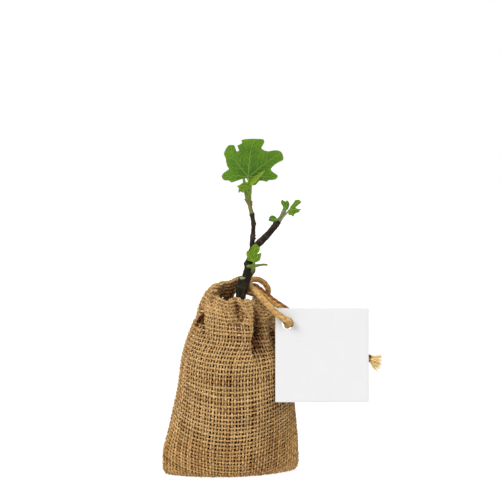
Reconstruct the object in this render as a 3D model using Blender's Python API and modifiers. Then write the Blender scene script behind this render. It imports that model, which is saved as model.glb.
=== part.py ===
"""Fig sapling with its root ball in a hessian drawstring sack, with a blank tag card.

Metres, +Z up, the front towards -Y, the origin in the middle of the sack's flat underside.
Lengths below are written in millimetres and multiplied by MM when a mesh is made.
"""

import math

import bmesh
import bpy
import numpy as np
from mathutils import Matrix, Vector
from mathutils.geometry import delaunay_2d_cdt

MM = 0.001
GAP = 0.3

# Sack: nominal wall height, cloth, and the size of its section at a few heights.
WALL_HEIGHT = 137.5
CLOTH = 1.6
SACK_COLUMNS = 78
SACK_HEIGHTS = (
    (0, 1.2, 3.5, 8, 15, 24, 34, 44, 54, 64, 74, 83)
    + (91, 98, 104, 109, 114, 118.5, 123, 127, 130.5, 133.5, 135.8, 137.5)
)
# height, half-width to the left, to the right, half-depth, corner sharpness (1 is an ellipse, 2 a lens)
SACK_STATIONS = (
    (0.0, 48.2, 48.6, 17.5, 1.66),
    (3.0, 50.6, 50.8, 21.0, 1.62),
    (9.0, 51.4, 51.6, 24.5, 1.58),
    (18.0, 51.2, 51.4, 28.0, 1.53),
    (35.0, 47.2, 50.2, 31.5, 1.40),
    (62.0, 41.0, 47.4, 33.5, 1.22),
    (89.0, 37.1, 43.4, 32.5, 1.10),
    (107.0, 31.9, 38.6, 30.0, 1.02),
    (119.0, 27.4, 34.0, 27.0, 1.0),
    (128.0, 24.2, 29.3, 23.5, 1.0),
    (134.0, 20.6, 24.0, 19.6, 1.0),
    (137.5, 17.4, 19.6, 16.8, 1.0),
)
SACK_TURN = math.radians(11)  # the base is turned this far, right corner backwards
TURN_FADE_HEIGHT = 75.0
RIM_SLOPE = (-4.3, 6.3, -2.0)  # lift of the rim: to the right, to the back, and at both ends

# The slit in the rim that the drawstring leaves by.
SLIT_ANGLE = math.radians(63)
SLIT_HALF_GAP = 6.4
SLIT_HEIGHTS = (124.0, 131.0)

# Gathers: angle at the rim and sideways drift to the foot (degrees), depth, width, reach below the rim,
# and how far below the rim it starts.
GATHERS = (
    (284, -2, 3.2, 2.6, 17, 0),
    (312, -9, 6.4, 2.7, 44, 0),
    (345, -3, 7.0, 2.4, 36, 0),
    (17, 3, 7.4, 2.4, 38, 0),
    (98, 3, 7.0, 2.3, 32, 0),
    (129, -4, 8.0, 2.4, 40, 0),
    (161, 2, 7.4, 2.4, 34, 0),
    (193, 3, 6.8, 2.6, 38, 7),
    (222, 4, 4.0, 2.6, 30, 0),
    (250, 3, 2.4, 2.8, 20, 0),
)

# Root ball.
SOIL_HEIGHT = 108.0
SOIL_INSET = CLOTH + 1.3
SOIL_HEIGHTS = (0, 3, 8, 18, 32, 48, 64, 80, 92, 101, 113)
SOIL_FOOT = (0.94, 0.98, 0.99)  # the lowest rings are drawn in from the corners of the base
SOIL_COLUMNS = 60

# Tag card.
CARD = 69.0
CARD_THICKNESS = 0.8
CARD_LEFT = 33.4
CARD_TOP = 126.6
CARD_DEPTH = -18.5  # of its top edge
CARD_LEAN = 7.1  # degrees, its foot forwards over the belly of the sack
CARD_HOLE_RADIUS = 4.4
CARD_HOLE = (10.0, 57.4)  # from the card's lower left corner

CORD_RADIUS = 2.5


def clear_scene():
    for old in list(bpy.data.objects):
        bpy.data.objects.remove(old, do_unlink=True)


def collection(name):
    made = bpy.data.collections.new(name)
    bpy.context.scene.collection.children.link(made)
    return made


def finish(obj, colour, roughness):
    """Give an object its own Principled material."""
    material = bpy.data.materials.new(obj.name)
    material.use_nodes = True
    shader = material.node_tree.nodes["Principled BSDF"]
    shader.inputs["Base Color"].default_value = (*colour, 1.0)
    shader.inputs["Roughness"].default_value = roughness
    obj.data.materials.clear()
    obj.data.materials.append(material)


def mesh_object(name, points, faces, group):
    """An object from points in millimetres and faces, with doubles merged."""
    mesh = bpy.data.meshes.new(name)
    corners = [tuple(int(i) for i in face) for face in faces]
    mesh.from_pydata([tuple(p) for p in np.asarray(points) * MM], [], corners)
    work = bmesh.new()
    work.from_mesh(mesh)
    bmesh.ops.remove_doubles(work, verts=work.verts, dist=0.00002)
    work.to_mesh(mesh)
    work.free()
    obj = bpy.data.objects.new(name, mesh)
    group.objects.link(obj)
    return obj


def hermite(stations, column, at):
    """Smooth curve through one column of a table of stations, read at the values `at`."""
    x = np.array([row[0] for row in stations])
    y = np.array([row[column] for row in stations])
    slope = np.gradient(y, x)
    k = np.clip(np.searchsorted(x, at) - 1, 0, len(x) - 2)
    width = x[k + 1] - x[k]
    t = (np.clip(at, x[0], x[-1]) - x[k]) / width
    return (
        (2 * t**3 - 3 * t**2 + 1) * y[k]
        + (t**3 - 2 * t**2 + t) * width * slope[k]
        + (3 * t**2 - 2 * t**3) * y[k + 1]
        + (t**3 - t**2) * width * slope[k + 1]
    )


def smoothstep(low, high, value):
    t = np.clip((value - low) / (high - low), 0.0, 1.0)
    return t * t * (3 - 2 * t)


def sack_section(height, angle):
    """Hull of the sack at a nominal height: a lens turned a little at the base, an ellipse at the neck."""
    left, right, depth, sharp = (hermite(SACK_STATIONS, c, height) for c in (1, 2, 3, 4))
    c, s = np.cos(angle), np.sin(angle)
    turn = SACK_TURN * (1 - smoothstep(0.0, TURN_FADE_HEIGHT, height))
    x = np.where(c > 0, right, left) * c / np.cos(turn)
    y = depth * np.sign(s) * np.abs(s) ** sharp
    return x * np.cos(turn) - y * np.sin(turn), x * np.sin(turn) + y * np.cos(turn)


def gather_depth(height, angle, arc):
    """How far the cloth is drawn inwards: one rounded furrow for each gather, fading to its foot."""
    total = np.zeros_like(angle)
    degrees = np.degrees(angle)
    below = WALL_HEIGHT - height
    for rim_angle, drift, depth, width, reach, start in GATHERS:
        along = np.clip(below / reach, 0.0, 1.0)
        fade = (1 - along) ** 1.3 * (smoothstep(-1.0, start, below) if start else 1.0)
        middle = rim_angle + drift * along
        off = (degrees - middle + 180) % 360 - 180
        furrow = width * (1 + 1.2 * along)
        total += depth * fade * np.exp(-((np.radians(off) * arc / furrow) ** 2))
    return total


def sack_ring(height, count, inset=0.0):
    """One ring of the cloth at equal steps of its own length, from one edge of the slit round to the other.

    The hull is sampled finely, drawn inwards along its normal by the gathers, and read again at equal
    arc length.
    """
    mean = 0.5 * (hermite(SACK_STATIONS, 2, height) + hermite(SACK_STATIONS, 3, height))
    gap = SLIT_HALF_GAP * smoothstep(*SLIT_HEIGHTS, height) / mean
    angle = np.linspace(SLIT_ANGLE + gap, SLIT_ANGLE + 2 * math.pi - gap, 1441)
    level = np.full_like(angle, height)
    x, y = sack_section(level, angle)
    dx, dy = np.gradient(x), np.gradient(y)
    size = np.hypot(dx, dy)
    inwards = gather_depth(height, angle, mean) + inset
    x, y = x - dy / size * inwards, y + dx / size * inwards
    length = np.concatenate([[0.0], np.cumsum(np.hypot(np.diff(x), np.diff(y)))])
    steps = np.linspace(0.0, length[-1], count + 1)
    x, y, angle = (np.interp(steps, length, v) for v in (x, y, angle))
    to_right, to_back, to_ends = RIM_SLOPE
    lift = to_right * np.cos(angle) + to_back * np.sin(angle) + to_ends * np.cos(2 * angle)
    z = height + lift * smoothstep(70.0, WALL_HEIGHT, height)
    if gap < 1e-6:
        x[-1], y[-1], z[-1] = x[0], y[0], z[0]
    return np.column_stack([x, y, z])


def strip_faces(rows, columns, first=0):
    """Quads of a grid of `rows` rings of `columns` + 1 points."""
    wide = columns + 1
    return [
        (first + r * wide + c, first + r * wide + c + 1, first + (r + 1) * wide + c + 1, first + (r + 1) * wide + c)
        for r in range(rows - 1)
        for c in range(columns)
    ]


def hessian_sack(group):
    """The sack's cloth as an open sheet, wall and flat underside, given its thickness inwards."""
    rings = [sack_ring(h, SACK_COLUMNS) for h in SACK_HEIGHTS]
    middle = rings[0].mean(axis=0)
    base = [middle + (rings[0] - middle) * part for part in (0.35, 0.72)]
    points = np.concatenate(base + rings)
    faces = strip_faces(len(rings) + len(base), SACK_COLUMNS)
    points = np.concatenate([points, [middle]])
    faces += [(c + 1, c, len(points) - 1) for c in range(SACK_COLUMNS)]
    sack = mesh_object("hessian_sack", points, faces, group)
    wall = sack.modifiers.new("cloth", "SOLIDIFY")
    wall.thickness = CLOTH * MM
    wall.offset = -1.0
    wall.use_even_offset = True
    wall.thickness_clamp = 0.0
    finish(sack, (0.50, 0.33, 0.17), 0.9)
    return sack


def root_ball(group):
    """The soil that fills the sack, 0.3 mm clear of the cloth, with a flat top round the stem."""
    rings = []
    for height in SOIL_HEIGHTS:
        ring = sack_ring(height, SOIL_COLUMNS, inset=SOIL_INSET)[:-1]
        ring[:, 2] = np.maximum(ring[:, 2], CLOTH + GAP)
        rings.append(ring)
    for ring, part in zip(rings, SOIL_FOOT):
        ring[:, :2] *= part
    rings[-1][:, 2] = SOIL_HEIGHT
    points = np.concatenate(rings)
    n = SOIL_COLUMNS
    faces = [
        (r * n + c, r * n + (c + 1) % n, (r + 1) * n + (c + 1) % n, (r + 1) * n + c)
        for r in range(len(rings) - 1)
        for c in range(n)
    ]
    bottom, top = rings[0].mean(axis=0), rings[-1].mean(axis=0)
    points = np.concatenate([points, [bottom, top]])
    last = (len(rings) - 1) * n
    faces += [((c + 1) % n, c, len(points) - 2) for c in range(n)]
    faces += [(last + c, last + (c + 1) % n, len(points) - 1) for c in range(n)]
    ball = mesh_object("root_ball", points, faces, group)
    finish(ball, (0.06, 0.04, 0.03), 0.95)
    return ball


def smooth_path(points, steps):
    """Catmull-Rom curve through the points: (x, y, z, radius) rows, `steps` to each stretch."""
    p = np.asarray(points, dtype=float)
    p = np.concatenate([[2 * p[0] - p[1]], p, [2 * p[-1] - p[-2]]])
    t = np.linspace(0, 1, steps, endpoint=False)[:, None]
    rows = []
    for a, b, c, d in zip(p[:-3], p[1:-2], p[2:-1], p[3:]):
        bend = (2 * a - 5 * b + 4 * c - d) * t**2 + (3 * b - 3 * c + d - a) * t**3
        rows.append(0.5 * (2 * b + (c - a) * t + bend))
    return np.concatenate(rows + [p[-2:-1]])


def limb(name, points, group, steps=3, resolution=2):
    """A tapering round limb along a smooth curve through (x, y, z, radius) points, as a closed mesh."""
    rows = smooth_path(points, steps)
    curve = bpy.data.curves.new(name, "CURVE")
    curve.dimensions = "3D"
    curve.bevel_depth = MM
    curve.bevel_resolution = resolution
    curve.use_fill_caps = True
    spline = curve.splines.new("POLY")
    spline.points.add(len(rows) - 1)
    for point, row in zip(spline.points, rows):
        point.co = (*(row[:3] * MM), 1.0)
        point.radius = row[3]
    guide = bpy.data.objects.new(name, curve)
    group.objects.link(guide)
    bpy.context.view_layer.update()
    mesh = bpy.data.meshes.new_from_object(guide.evaluated_get(bpy.context.evaluated_depsgraph_get()))
    bpy.data.objects.remove(guide)
    work = bmesh.new()
    work.from_mesh(mesh)
    bmesh.ops.remove_doubles(work, verts=work.verts, dist=0.00001)
    bmesh.ops.recalc_face_normals(work, faces=work.faces)
    work.to_mesh(mesh)
    work.free()
    mesh.shade_smooth()
    obj = bpy.data.objects.new(name, mesh)
    group.objects.link(obj)
    return obj


def blade(name, outline, root, lean, turn, roll, cup, group, thickness=0.6, step=5.0):
    """A leaf blade: its outline in its own plane, cupped, with a thickness, leant back, turned and rolled.

    The blade's height off its plane is cup * (distance from the root / 20 mm) squared, towards the back.
    """
    rim = np.asarray(outline, dtype=float)
    low, high = rim.min(axis=0), rim.max(axis=0)
    grid = [
        (x, y)
        for i, y in enumerate(np.arange(low[1] + step / 2, high[1], step * 0.87))
        for x in np.arange(low[0] + step * (0.5 + 0.5 * (i % 2)), high[0], step)
    ]
    inner = [p for p in grid if inside(p, rim) and np.hypot(*(rim - p).T).min() > step * 0.5]
    flat = [Vector(p) for p in np.concatenate([rim, np.array(inner).reshape(-1, 2)])]
    verts, _, faces, *_ = delaunay_2d_cdt(flat, [], [list(range(len(rim)))], 1, 1e-6)
    plane = np.array([tuple(v) for v in verts])
    depth = cup * (np.hypot(*plane.T) / 20.0) ** 2
    front = np.column_stack([plane[:, 0], depth - thickness / 2, plane[:, 1]])
    back = front + (0.0, thickness, 0.0)
    count = len(plane)
    faces = [tuple(f) for f in faces]
    sides = [(f[i], f[(i + 1) % 3]) for f in faces for i in range(3)]
    border = [e for e in sides if (e[1], e[0]) not in set(sides)]
    solid = [f for f in faces] + [tuple(i + count for i in reversed(f)) for f in faces]
    solid += [(b, a, a + count, b + count) for a, b in border]
    place = (
        Matrix.Translation(Vector(root))
        @ Matrix.Rotation(math.radians(turn), 4, "Z")
        @ Matrix.Rotation(math.radians(-lean), 4, "X")
        @ Matrix.Rotation(math.radians(roll), 4, "Y")
    )
    points = np.concatenate([front, back]) @ np.array(place.to_3x3()).T + np.array(place.translation)
    leaf = mesh_object(name, points, solid, group)
    work = bmesh.new()
    work.from_mesh(leaf.data)
    bmesh.ops.recalc_face_normals(work, faces=work.faces)
    work.to_mesh(leaf.data)
    work.free()
    return leaf


def inside(point, rim):
    """Whether a point lies in an outline, by counting crossings."""
    x, y = point
    ax, ay = rim.T
    bx, by = np.roll(rim, -1, axis=0).T
    crosses = (ay > y) != (by > y)
    safe = np.where(by == ay, 1.0, by - ay)
    return bool(np.count_nonzero(crosses & (x < ax + (y - ay) / safe * (bx - ax))) % 2)


def fuse(name, body, parts, group, scene_group):
    """Join pieces to a body with one Boolean union on a collection, applied, and remove the pieces."""
    for piece in parts:
        group.objects.unlink(piece)
        scene_group.objects.link(piece)
    joined = body.modifiers.new("fused", "BOOLEAN")
    joined.operation = "UNION"
    joined.operand_type = "COLLECTION"
    joined.collection = scene_group
    joined.solver = "EXACT"
    bpy.context.view_layer.update()
    mesh = bpy.data.meshes.new_from_object(body.evaluated_get(bpy.context.evaluated_depsgraph_get()))
    body.modifiers.clear()
    body.data = mesh
    body.name = name
    for piece in parts:
        bpy.data.objects.remove(piece)
    return body


# Points of the limbs: x, y, z, radius.
STUB = (
    (3.6, -2.0, SOIL_HEIGHT + GAP, 5.6),
    (3.6, -2.0, SOIL_HEIGHT + 1.2, 5.0),
    (3.6, -2.0, SOIL_HEIGHT + 2.4, 4.6),
    (4.7, -2.0, 116.0, 4.1),
    (6.2, -2.0, 124.0, 4.05),
    (7.6, -2.1, 132.0, 4.1),
    (8.8, -2.2, 139.0, 4.3),
    (9.2, -2.6, 143.5, 4.2),
    (9.1, -3.2, 146.6, 3.6),
    (8.8, -4.1, 149.2, 3.1),
)
LEADER = (
    (9.4, -1.2, 139.0, 3.2),
    (12.2, -0.6, 145.0, 3.9),
    (13.4, -0.6, 151.5, 3.6),
    (13.7, -1.2, 156.0, 3.2),
    (14.1, -1.6, 159.8, 3),
    (14.9, -1.6, 164.2, 2.5),
    (16.4, -1.6, 169.0, 2.5),
    (18.3, -1.6, 172.2, 3.5),
)
UPRIGHT_BOUGH = (
    (15.9, -1.6, 174.3, 1.75),
    (16.6, -1.4, 178.0, 1.75),
    (17.1, -1.0, 185.0, 1.45),
    (17.2, -0.8, 189.0, 1.75),
    (16.5, -0.9, 193.4, 1.75),
    (15.9, -1.1, 196.6, 1.95),
)
SIDE_BOUGH = (
    (19.9, -1.5, 173.0, 2.5),
    (24.5, -0.4, 177.2, 2.6),
    (29.4, 0.8, 182.2, 2.35),
    (33.6, 1.9, 187.4, 2.3),
    (35.6, 2.4, 189.8, 2.4),
)

LEAF_SPREAD = 1.03
# Leaf outlines in their own plane, across and up from where the stalk joins.
FIG_LEAF = (
    (-1.1, -1.2), (-3.7, -1.2), (-8.6, -2.9), (-12.0, -3.7), (-13.7, -2.6), (-17.2, -2.3), (-18.9, -0.3),
    (-18.9, 1.7), (-16.6, 4.3), (-13.7, 5.7), (-15.8, 9.7), (-16.0, 13.8), (-17.5, 17.2), (-16.3, 21.2),
    (-14.0, 23.5), (-10.9, 23.5), (-9.7, 23.2), (-9.6, 21.2), (-7.7, 19.2), (-6.3, 20.6), (-7.7, 22.7),
    (-3.7, 24.7), (-2.6, 25.8), (-4.0, 27.1), (1.2, 28.3), (7.5, 28.2), (12.1, 27.1), (12.4, 25.1),
    (10.1, 23.2), (10.6, 21.2), (13.8, 19.5), (17.8, 19.2), (20.1, 19.8), (24.1, 18.9), (25.8, 17.2),
    (26.7, 14.0), (26.1, 12.3), (23.0, 10.9), (19.5, 8.6), (17.5, 6.0), (19.5, 3.4), (22.4, 1.0),
    (21.3, -1.7), (17.8, -2.0), (15.5, -2.6), (14.4, -3.7), (10.4, -2.9), (6.9, -4.0), (5.5, -5.7),
    (3.5, -5.7), (2.3, -3.5), (1.2, -1.4),
)
YOUNG_LEAF = (
    (1.6, 2.2), (-1.0, 3.2), (-3.0, 2.6), (-5.0, 1.2), (-7.3, 0.0), (-6.0, -1.6), (-6.4, -3.0),
    (-6.1, -4.9), (-4.9, -4.0), (-3.0, -4.8), (-1.2, -4.4), (1.4, -2.2),
)
SPEAR = ((0.0, 0.0), (-0.9, 1.2), (-0.8, 5.0), (0.2, 9.2), (1.0, 12.4), (1.4, 9.0), (1.5, 4.0), (1.0, 0.8))
ROUND_LEAF = (
    (0.6, -0.7), (-1.6, -1.5), (-3.6, -1.4), (-5.6, -1.0), (-6.2, 0.2), (-5.6, 0.9), (-6.1, 1.9), (-5.0, 2.5),
    (-4.2, 3.2), (-2.2, 3.2), (-0.7, 2.1), (0.5, 0.6),
)
SIDE_LEAF = (
    (-0.6, -0.6), (0.2, 1.4), (2.6, 3.9), (3.8, 5.8), (6.3, 6.3), (7.6, 5.6), (8.4, 4.1), (7.0, 2.9),
    (5.2, 1.6), (4.0, 0.2), (6.2, -0.6), (8.7, -0.8), (7.2, -1.8), (6.6, -3.2), (4.4, -3.8), (2.8, -4.8),
    (1.9, -6.4), (0.6, -5.4), (-1.4, -4.9), (-1.8, -2.6),
)
CREST = (
    (-1.4, -2.2), (-1.7, 0.2), (-3.1, 2.2), (-3.4, 3.7), (-2.3, 5.3), (-1.2, 4.6), (0.2, 4.0), (1.1, 4.8),
    (2.0, 4.4), (2.9, 3.1), (3.1, 1.2), (2.6, -0.8), (1.2, -2.4),
)
SPROUT_LEAF = (
    (-0.8, 0.0), (-2.6, 0.6), (-4.4, 1.1), (-4.6, 3.3), (-5.4, 5.6), (-4.6, 8.3), (-2.7, 8.1), (-2.3, 10.2),
    (-0.6, 12.1), (1.5, 13.4), (3.3, 12.4), (4.8, 10.0), (4.2, 7.7), (2.9, 5.9), (5.9, 6.5), (5.5, 3.6),
    (4.4, 0.8), (1.6, -0.4), (0.4, -0.6),
)


def trunk(group, working):
    """The cutting's stub, cut flat at soil level and pruned at the top, with the leader fused to its side."""
    stub = limb("trunk", STUB, group, steps=2, resolution=3)
    leader = limb("leader", LEADER, group, steps=2, resolution=3)
    made = fuse("trunk", stub, [leader], group, working)
    finish(made, (0.045, 0.032, 0.024), 0.7)


def boughs(group):
    for name, points in (("upright_bough", UPRIGHT_BOUGH), ("side_bough", SIDE_BOUGH)):
        made = limb(name, points, group, steps=2)
        finish(made, (0.05, 0.032, 0.026), 0.7)


def foliage(group, working):
    """Three masses of leaves, each fused to its own green stem."""
    green = (0.14, 0.28, 0.03)
    stem = limb(
        "top_foliage",
        (
            (15.8, -1.1, 197.0, 1.75),
            (14.6, -1.2, 201.6, 1.7),
            (13.6, -1.4, 205.0, 2.5),
            (13.1, -1.7, 209.6, 2.6),
            (13.3, -1.7, 214.8, 2.1),
            (13.1, -1.5, 220.0, 1.3),
            (12.7, -1.3, 224.6, 0.9),
        ),
        group,
        steps=2,
    )
    leaves = [
        blade("fig_leaf", LEAF_SPREAD * np.array(FIG_LEAF), (12.7, -1.4, 223.2), 11, 4, 0, 2.0, group),
        blade("young_leaf", YOUNG_LEAF, (12.2, -3.3, 217.2), 4, 8, 0, -1.5, group, step=3.0),
        blade("spear", SPEAR, (14.2, -2.8, 215.4), 4, 0, 43, 0.0, group, thickness=1.1, step=3.0),
    ]
    made = fuse("top_foliage", stem, leaves, group, working)
    finish(made, green, 0.55)

    stem = limb(
        "side_foliage",
        (
            (36.2, 2.6, 190.9, 2),
            (38.2, 2.6, 193.6, 1.7),
            (40.3, 2.4, 198.4, 2),
            (41.2, 2.3, 201.6, 1.2),
        ),
        group,
        steps=2,
    )
    stalk_points = ((37.2, 1.2, 191.4, 0.7), (40.2, -0.6, 194.6, 0.7), (44.6, -1.4, 199.6, 0.7))
    twig_points = ((37.6, 2.4, 192.6, 0.9), (35.0, 0.6, 191.9, 0.6), (32.6, -0.6, 192.4, 0.5))
    leaves = [
        blade("crest", CREST, (41.0, 1.8, 201.4), 6, -10, 0, 1.5, group, step=3.0),
        blade("side_leaf", SIDE_LEAF, (44.8, -1.4, 200.6), 8, 14, 0, 1.5, group, step=3.0),
        blade("round_leaf", ROUND_LEAF, (34.6, -0.2, 191.7), 8, -12, 0, 1.5, group, step=3.0),
        limb("stalk", stalk_points, group, steps=2),
        limb("twig", twig_points, group, steps=2),
    ]
    made = fuse("side_foliage", stem, leaves, group, working)
    finish(made, green, 0.55)

    stem = limb(
        "low_foliage",
        (
            (13.5, -5.9, 155.2, 1.4),
            (14.2, -6.2, 157.6, 1.1),
            (16.4, -6.6, 160.2, 0.8),
            (17.0, -6.8, 164.2, 0.6),
        ),
        group,
        steps=2,
    )
    stalk_points = ((13.6, -6.3, 156.6, 1.2), (19.0, -6.2, 157.2, 0.8), (28.0, -6.6, 158.1, 0.7))
    bud_points = ((14.2, -6.3, 155.8, 1.2), (16.4, -6.6, 152.6, 1.7), (16.8, -6.4, 150.4, 1))
    leaves = [
        blade("sprout_leaf", SPROUT_LEAF, (17.0, -7.4, 158.9), 2, 6, 0, 0.8, group, step=3.5),
        limb("stalk", stalk_points, group, steps=2),
        limb("bud", bud_points, group, steps=2),
    ]
    made = fuse("low_foliage", stem, leaves, group, working)
    finish(made, green, 0.55)


def drawstring(group):
    """The jute drawstring outside the hem: loop, knot, the end on the card and the frayed rear end."""
    r = CORD_RADIUS
    tan = (0.55, 0.38, 0.18)
    loop = (
        (16.1, 10.1, 145.2, r), (19.1, 10.1, 145.2, r), (22.3, 9.6, 144.6, r), (25.6, 9.6, 142.2, r),
        (27.8, 10.4, 138.8, r), (27.9, 12.8, 135.4, r), (26.2, 17.0, 133.2, r), (22.0, 20.6, 132.6, r),
        (16.8, 20.6, 133.6, r), (12.2, 18.6, 135.2, r), (7.8, 17.4, 136.4, r),
    )
    front_end = (
        (15.9, 2.8, 139.4, r), (19.4, -2.8, 136.3, r), (24.0, -9.2, 132.3, r), (29.0, -17.0, 127.8, r),
        (33.4, -23.4, 124.0, r), (38.0, -24.8, 119.5, r), (41.6, -25.0, 115.9, r), (43.5, -23.3, 114.1, r),
        (43.5, -21.0, 113.8, r),
    )
    rear_end = (
        (18.5, 7.6, 140.4, r), (24.4, 3.8, 136.4, r), (30.0, -0.6, 132.6, r), (35.0, -4.4, 129.4, r),
        (44.0, -10.6, 123.8, r), (54.0, -14.6, 117.8, r), (74.6, -17.4, 106.4, r), (92.0, -19.0, 96.4, r),
        (102.4, -19.5, 90.3, r), (106.6, -19.6, 88.4, 4.9), (110.6, -19.6, 86.4, 7.0),
    )
    for name, points in (
        ("drawstring_loop", loop),
        ("drawstring_front_end", front_end),
        ("drawstring_rear_end", rear_end),
    ):
        made = limb(name, points, group, steps=2)
        finish(made, tan, 0.85)
    for name, centre, size in (
        ("drawstring_knot", (12.6, 7.1, 140.3), (4.4, 4.3, 4.5)),
        ("drawstring_stop_knot", (43.6, -15.9, 113.8), (5.2, 4.8, 5.2)),
    ):
        mesh = bpy.data.meshes.new(name)
        work = bmesh.new()
        bmesh.ops.create_uvsphere(work, u_segments=12, v_segments=8, radius=MM)
        bmesh.ops.scale(work, vec=size, verts=work.verts)
        bmesh.ops.translate(work, vec=Vector(centre) * MM, verts=work.verts)
        work.to_mesh(mesh)
        work.free()
        made = bpy.data.objects.new(name, mesh)
        group.objects.link(made)
        finish(made, tan, 0.85)


def tag_card(group):
    """A square card with a round punched hole, standing upright and square to the front."""
    outline = bpy.data.curves.new("tag_card", "CURVE")
    outline.dimensions = "2D"
    outline.fill_mode = "BOTH"
    outline.extrude = CARD_THICKNESS / 2 * MM
    corners = [(0, 0), (CARD, 0), (CARD, CARD), (0, CARD)]
    ring = [
        (CARD_HOLE[0] + CARD_HOLE_RADIUS * math.cos(a), CARD_HOLE[1] + CARD_HOLE_RADIUS * math.sin(a))
        for a in np.linspace(0, 2 * math.pi, 20, endpoint=False)
    ]
    for loop in (corners, ring):
        spline = outline.splines.new("POLY")
        spline.points.add(len(loop) - 1)
        spline.use_cyclic_u = True
        for point, (x, y) in zip(spline.points, loop):
            point.co = (x * MM, y * MM, 0.0, 1.0)
    guide = bpy.data.objects.new("tag_card", outline)
    group.objects.link(guide)
    lean = math.radians(CARD_LEAN)
    foot = (CARD_LEFT, CARD_DEPTH - CARD * math.sin(lean), CARD_TOP - CARD * math.cos(lean))
    guide.location = Vector(foot) * MM
    guide.rotation_euler = (math.radians(90) - lean, 0.0, 0.0)
    finish(guide, (0.82, 0.82, 0.82), 0.6)


def main():
    clear_scene()
    group = collection("sapling_with_root_ball")
    working = collection("working")
    hessian_sack(group)
    root_ball(group)
    trunk(group, working)
    boughs(group)
    foliage(group, working)
    drawstring(group)
    tag_card(group)


main()
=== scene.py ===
"""Looks of the fig sapling that stands on its root ball in a hessian drawstring sack.

Lengths are in millimetres and are multiplied by MM when a mesh is made. +Z is up, the front faces -Y, and
the origin is in the middle of the sack's underside. The sack is woven from single yarns: a cloth map turns a
place on the cloth (share of the way round, distance from the bottom seam) into a point and a normal, and each
yarn is a tube that follows the map and weaves over and under the yarns that it crosses.
"""

import math

import bpy
import numpy as np
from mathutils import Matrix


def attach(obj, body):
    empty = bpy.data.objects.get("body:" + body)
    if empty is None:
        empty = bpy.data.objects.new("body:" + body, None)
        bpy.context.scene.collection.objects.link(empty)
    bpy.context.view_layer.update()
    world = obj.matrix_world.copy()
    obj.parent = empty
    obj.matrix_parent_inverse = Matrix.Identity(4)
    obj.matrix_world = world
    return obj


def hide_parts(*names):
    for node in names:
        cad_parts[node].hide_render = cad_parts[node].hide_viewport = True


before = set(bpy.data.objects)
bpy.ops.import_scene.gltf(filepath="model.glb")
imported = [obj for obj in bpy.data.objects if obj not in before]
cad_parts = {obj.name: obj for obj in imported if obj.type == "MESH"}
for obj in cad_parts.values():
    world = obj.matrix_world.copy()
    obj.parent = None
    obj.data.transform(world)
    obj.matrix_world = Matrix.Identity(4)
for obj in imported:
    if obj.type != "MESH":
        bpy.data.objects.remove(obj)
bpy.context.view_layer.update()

MM = 0.001
TURN = 2 * math.pi
TO_FRONT = (0.0, -1.0, 0.0)
TO_BACK = (0.0, 1.0, 0.0)
rng = np.random.default_rng(11)


# ---------------------------------------------------------------- making meshes

def build(name, parts, finish, nodes=()):
    """One object from parts, each (points in mm, face arrays, {attribute: one value a point}, uv or None)."""
    points = np.concatenate([p[0] for p in parts])
    starts = np.cumsum([0] + [len(p[0]) for p in parts[:-1]])
    faces = [f + start for start, p in zip(starts, parts) for f in p[1]]
    loops = np.concatenate([f.reshape(-1) for f in faces])
    sizes = np.concatenate([np.full(len(f), f.shape[1]) for f in faces])
    points[:, 2] = np.maximum(points[:, 2], 0.0)
    mesh = bpy.data.meshes.new(name)
    mesh.vertices.add(len(points))
    mesh.vertices.foreach_set("co", (points * MM).astype(np.float32).reshape(-1))
    mesh.loops.add(len(loops))
    mesh.loops.foreach_set("vertex_index", loops.astype(np.int32))
    mesh.polygons.add(len(sizes))
    mesh.polygons.foreach_set("loop_start", np.concatenate([[0], np.cumsum(sizes)[:-1]]).astype(np.int32))
    mesh.polygons.foreach_set("use_smooth", np.ones(len(sizes), bool))
    mesh.update(calc_edges=True)
    if parts[0][3] is not None:
        uv = np.concatenate([p[3] for p in parts])[loops]
        mesh.uv_layers.new(name="UVMap").data.foreach_set("uv", uv.astype(np.float32).reshape(-1))
    for key in parts[0][2]:
        values = np.concatenate([p[2][key] for p in parts])
        mesh.attributes.new(key, "FLOAT", "POINT").data.foreach_set("value", values.astype(np.float32))
    obj = bpy.data.objects.new(name, mesh)
    bpy.context.scene.collection.objects.link(obj)
    mesh.materials.append(finish)
    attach(obj, "root")
    if nodes:
        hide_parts(*nodes)


def unit(v):
    return v / np.maximum(np.linalg.norm(v, axis=-1, keepdims=True), 1e-9)


def smoothstep(low, high, value):
    t = np.clip((value - low) / (high - low), 0.0, 1.0)
    return t * t * (3 - 2 * t)


def run_along(steps):
    """Distance from the first point to each point, from the lengths of the steps between them."""
    return np.concatenate([[0.0], np.cumsum(steps)])


def degrees_off(angle, middle):
    """How far an angle in radians lies from `middle` in degrees, from -180 to 180."""
    return (np.degrees(angle) - middle + 180) % 360 - 180


def angles_round(sides):
    return np.arange(sides) * TURN / sides


def soften(values, reach, axis):
    """Mean over a window of 2 * reach + 1 samples along an axis, taken twice, with the ends repeated."""
    for _ in range(2):
        pad = [(0, 0)] * values.ndim
        pad[axis] = (reach + 1, reach)
        run = np.moveaxis(np.cumsum(np.pad(values, pad, mode="edge"), axis=axis), axis, 0)
        values = np.moveaxis((run[2 * reach + 1:] - run[:-2 * reach - 1]) / (2 * reach + 1), 0, axis)
    return values


def random_ways(count):
    """Random directions, one for each of `count` fibres."""
    return unit(rng.normal(size=(count, 1, 3)))


def wander(count, length, step):
    """`count` smooth random curves of `length` samples: random values every `step` samples, eased between."""
    knots = rng.normal(size=(count, int(length / step) + 3))
    at = np.arange(length) / step
    k = at.astype(int)
    t = smoothstep(0, 1, at - k)
    return knots[:, k] * (1 - t) + knots[:, k + 1] * t


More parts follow.
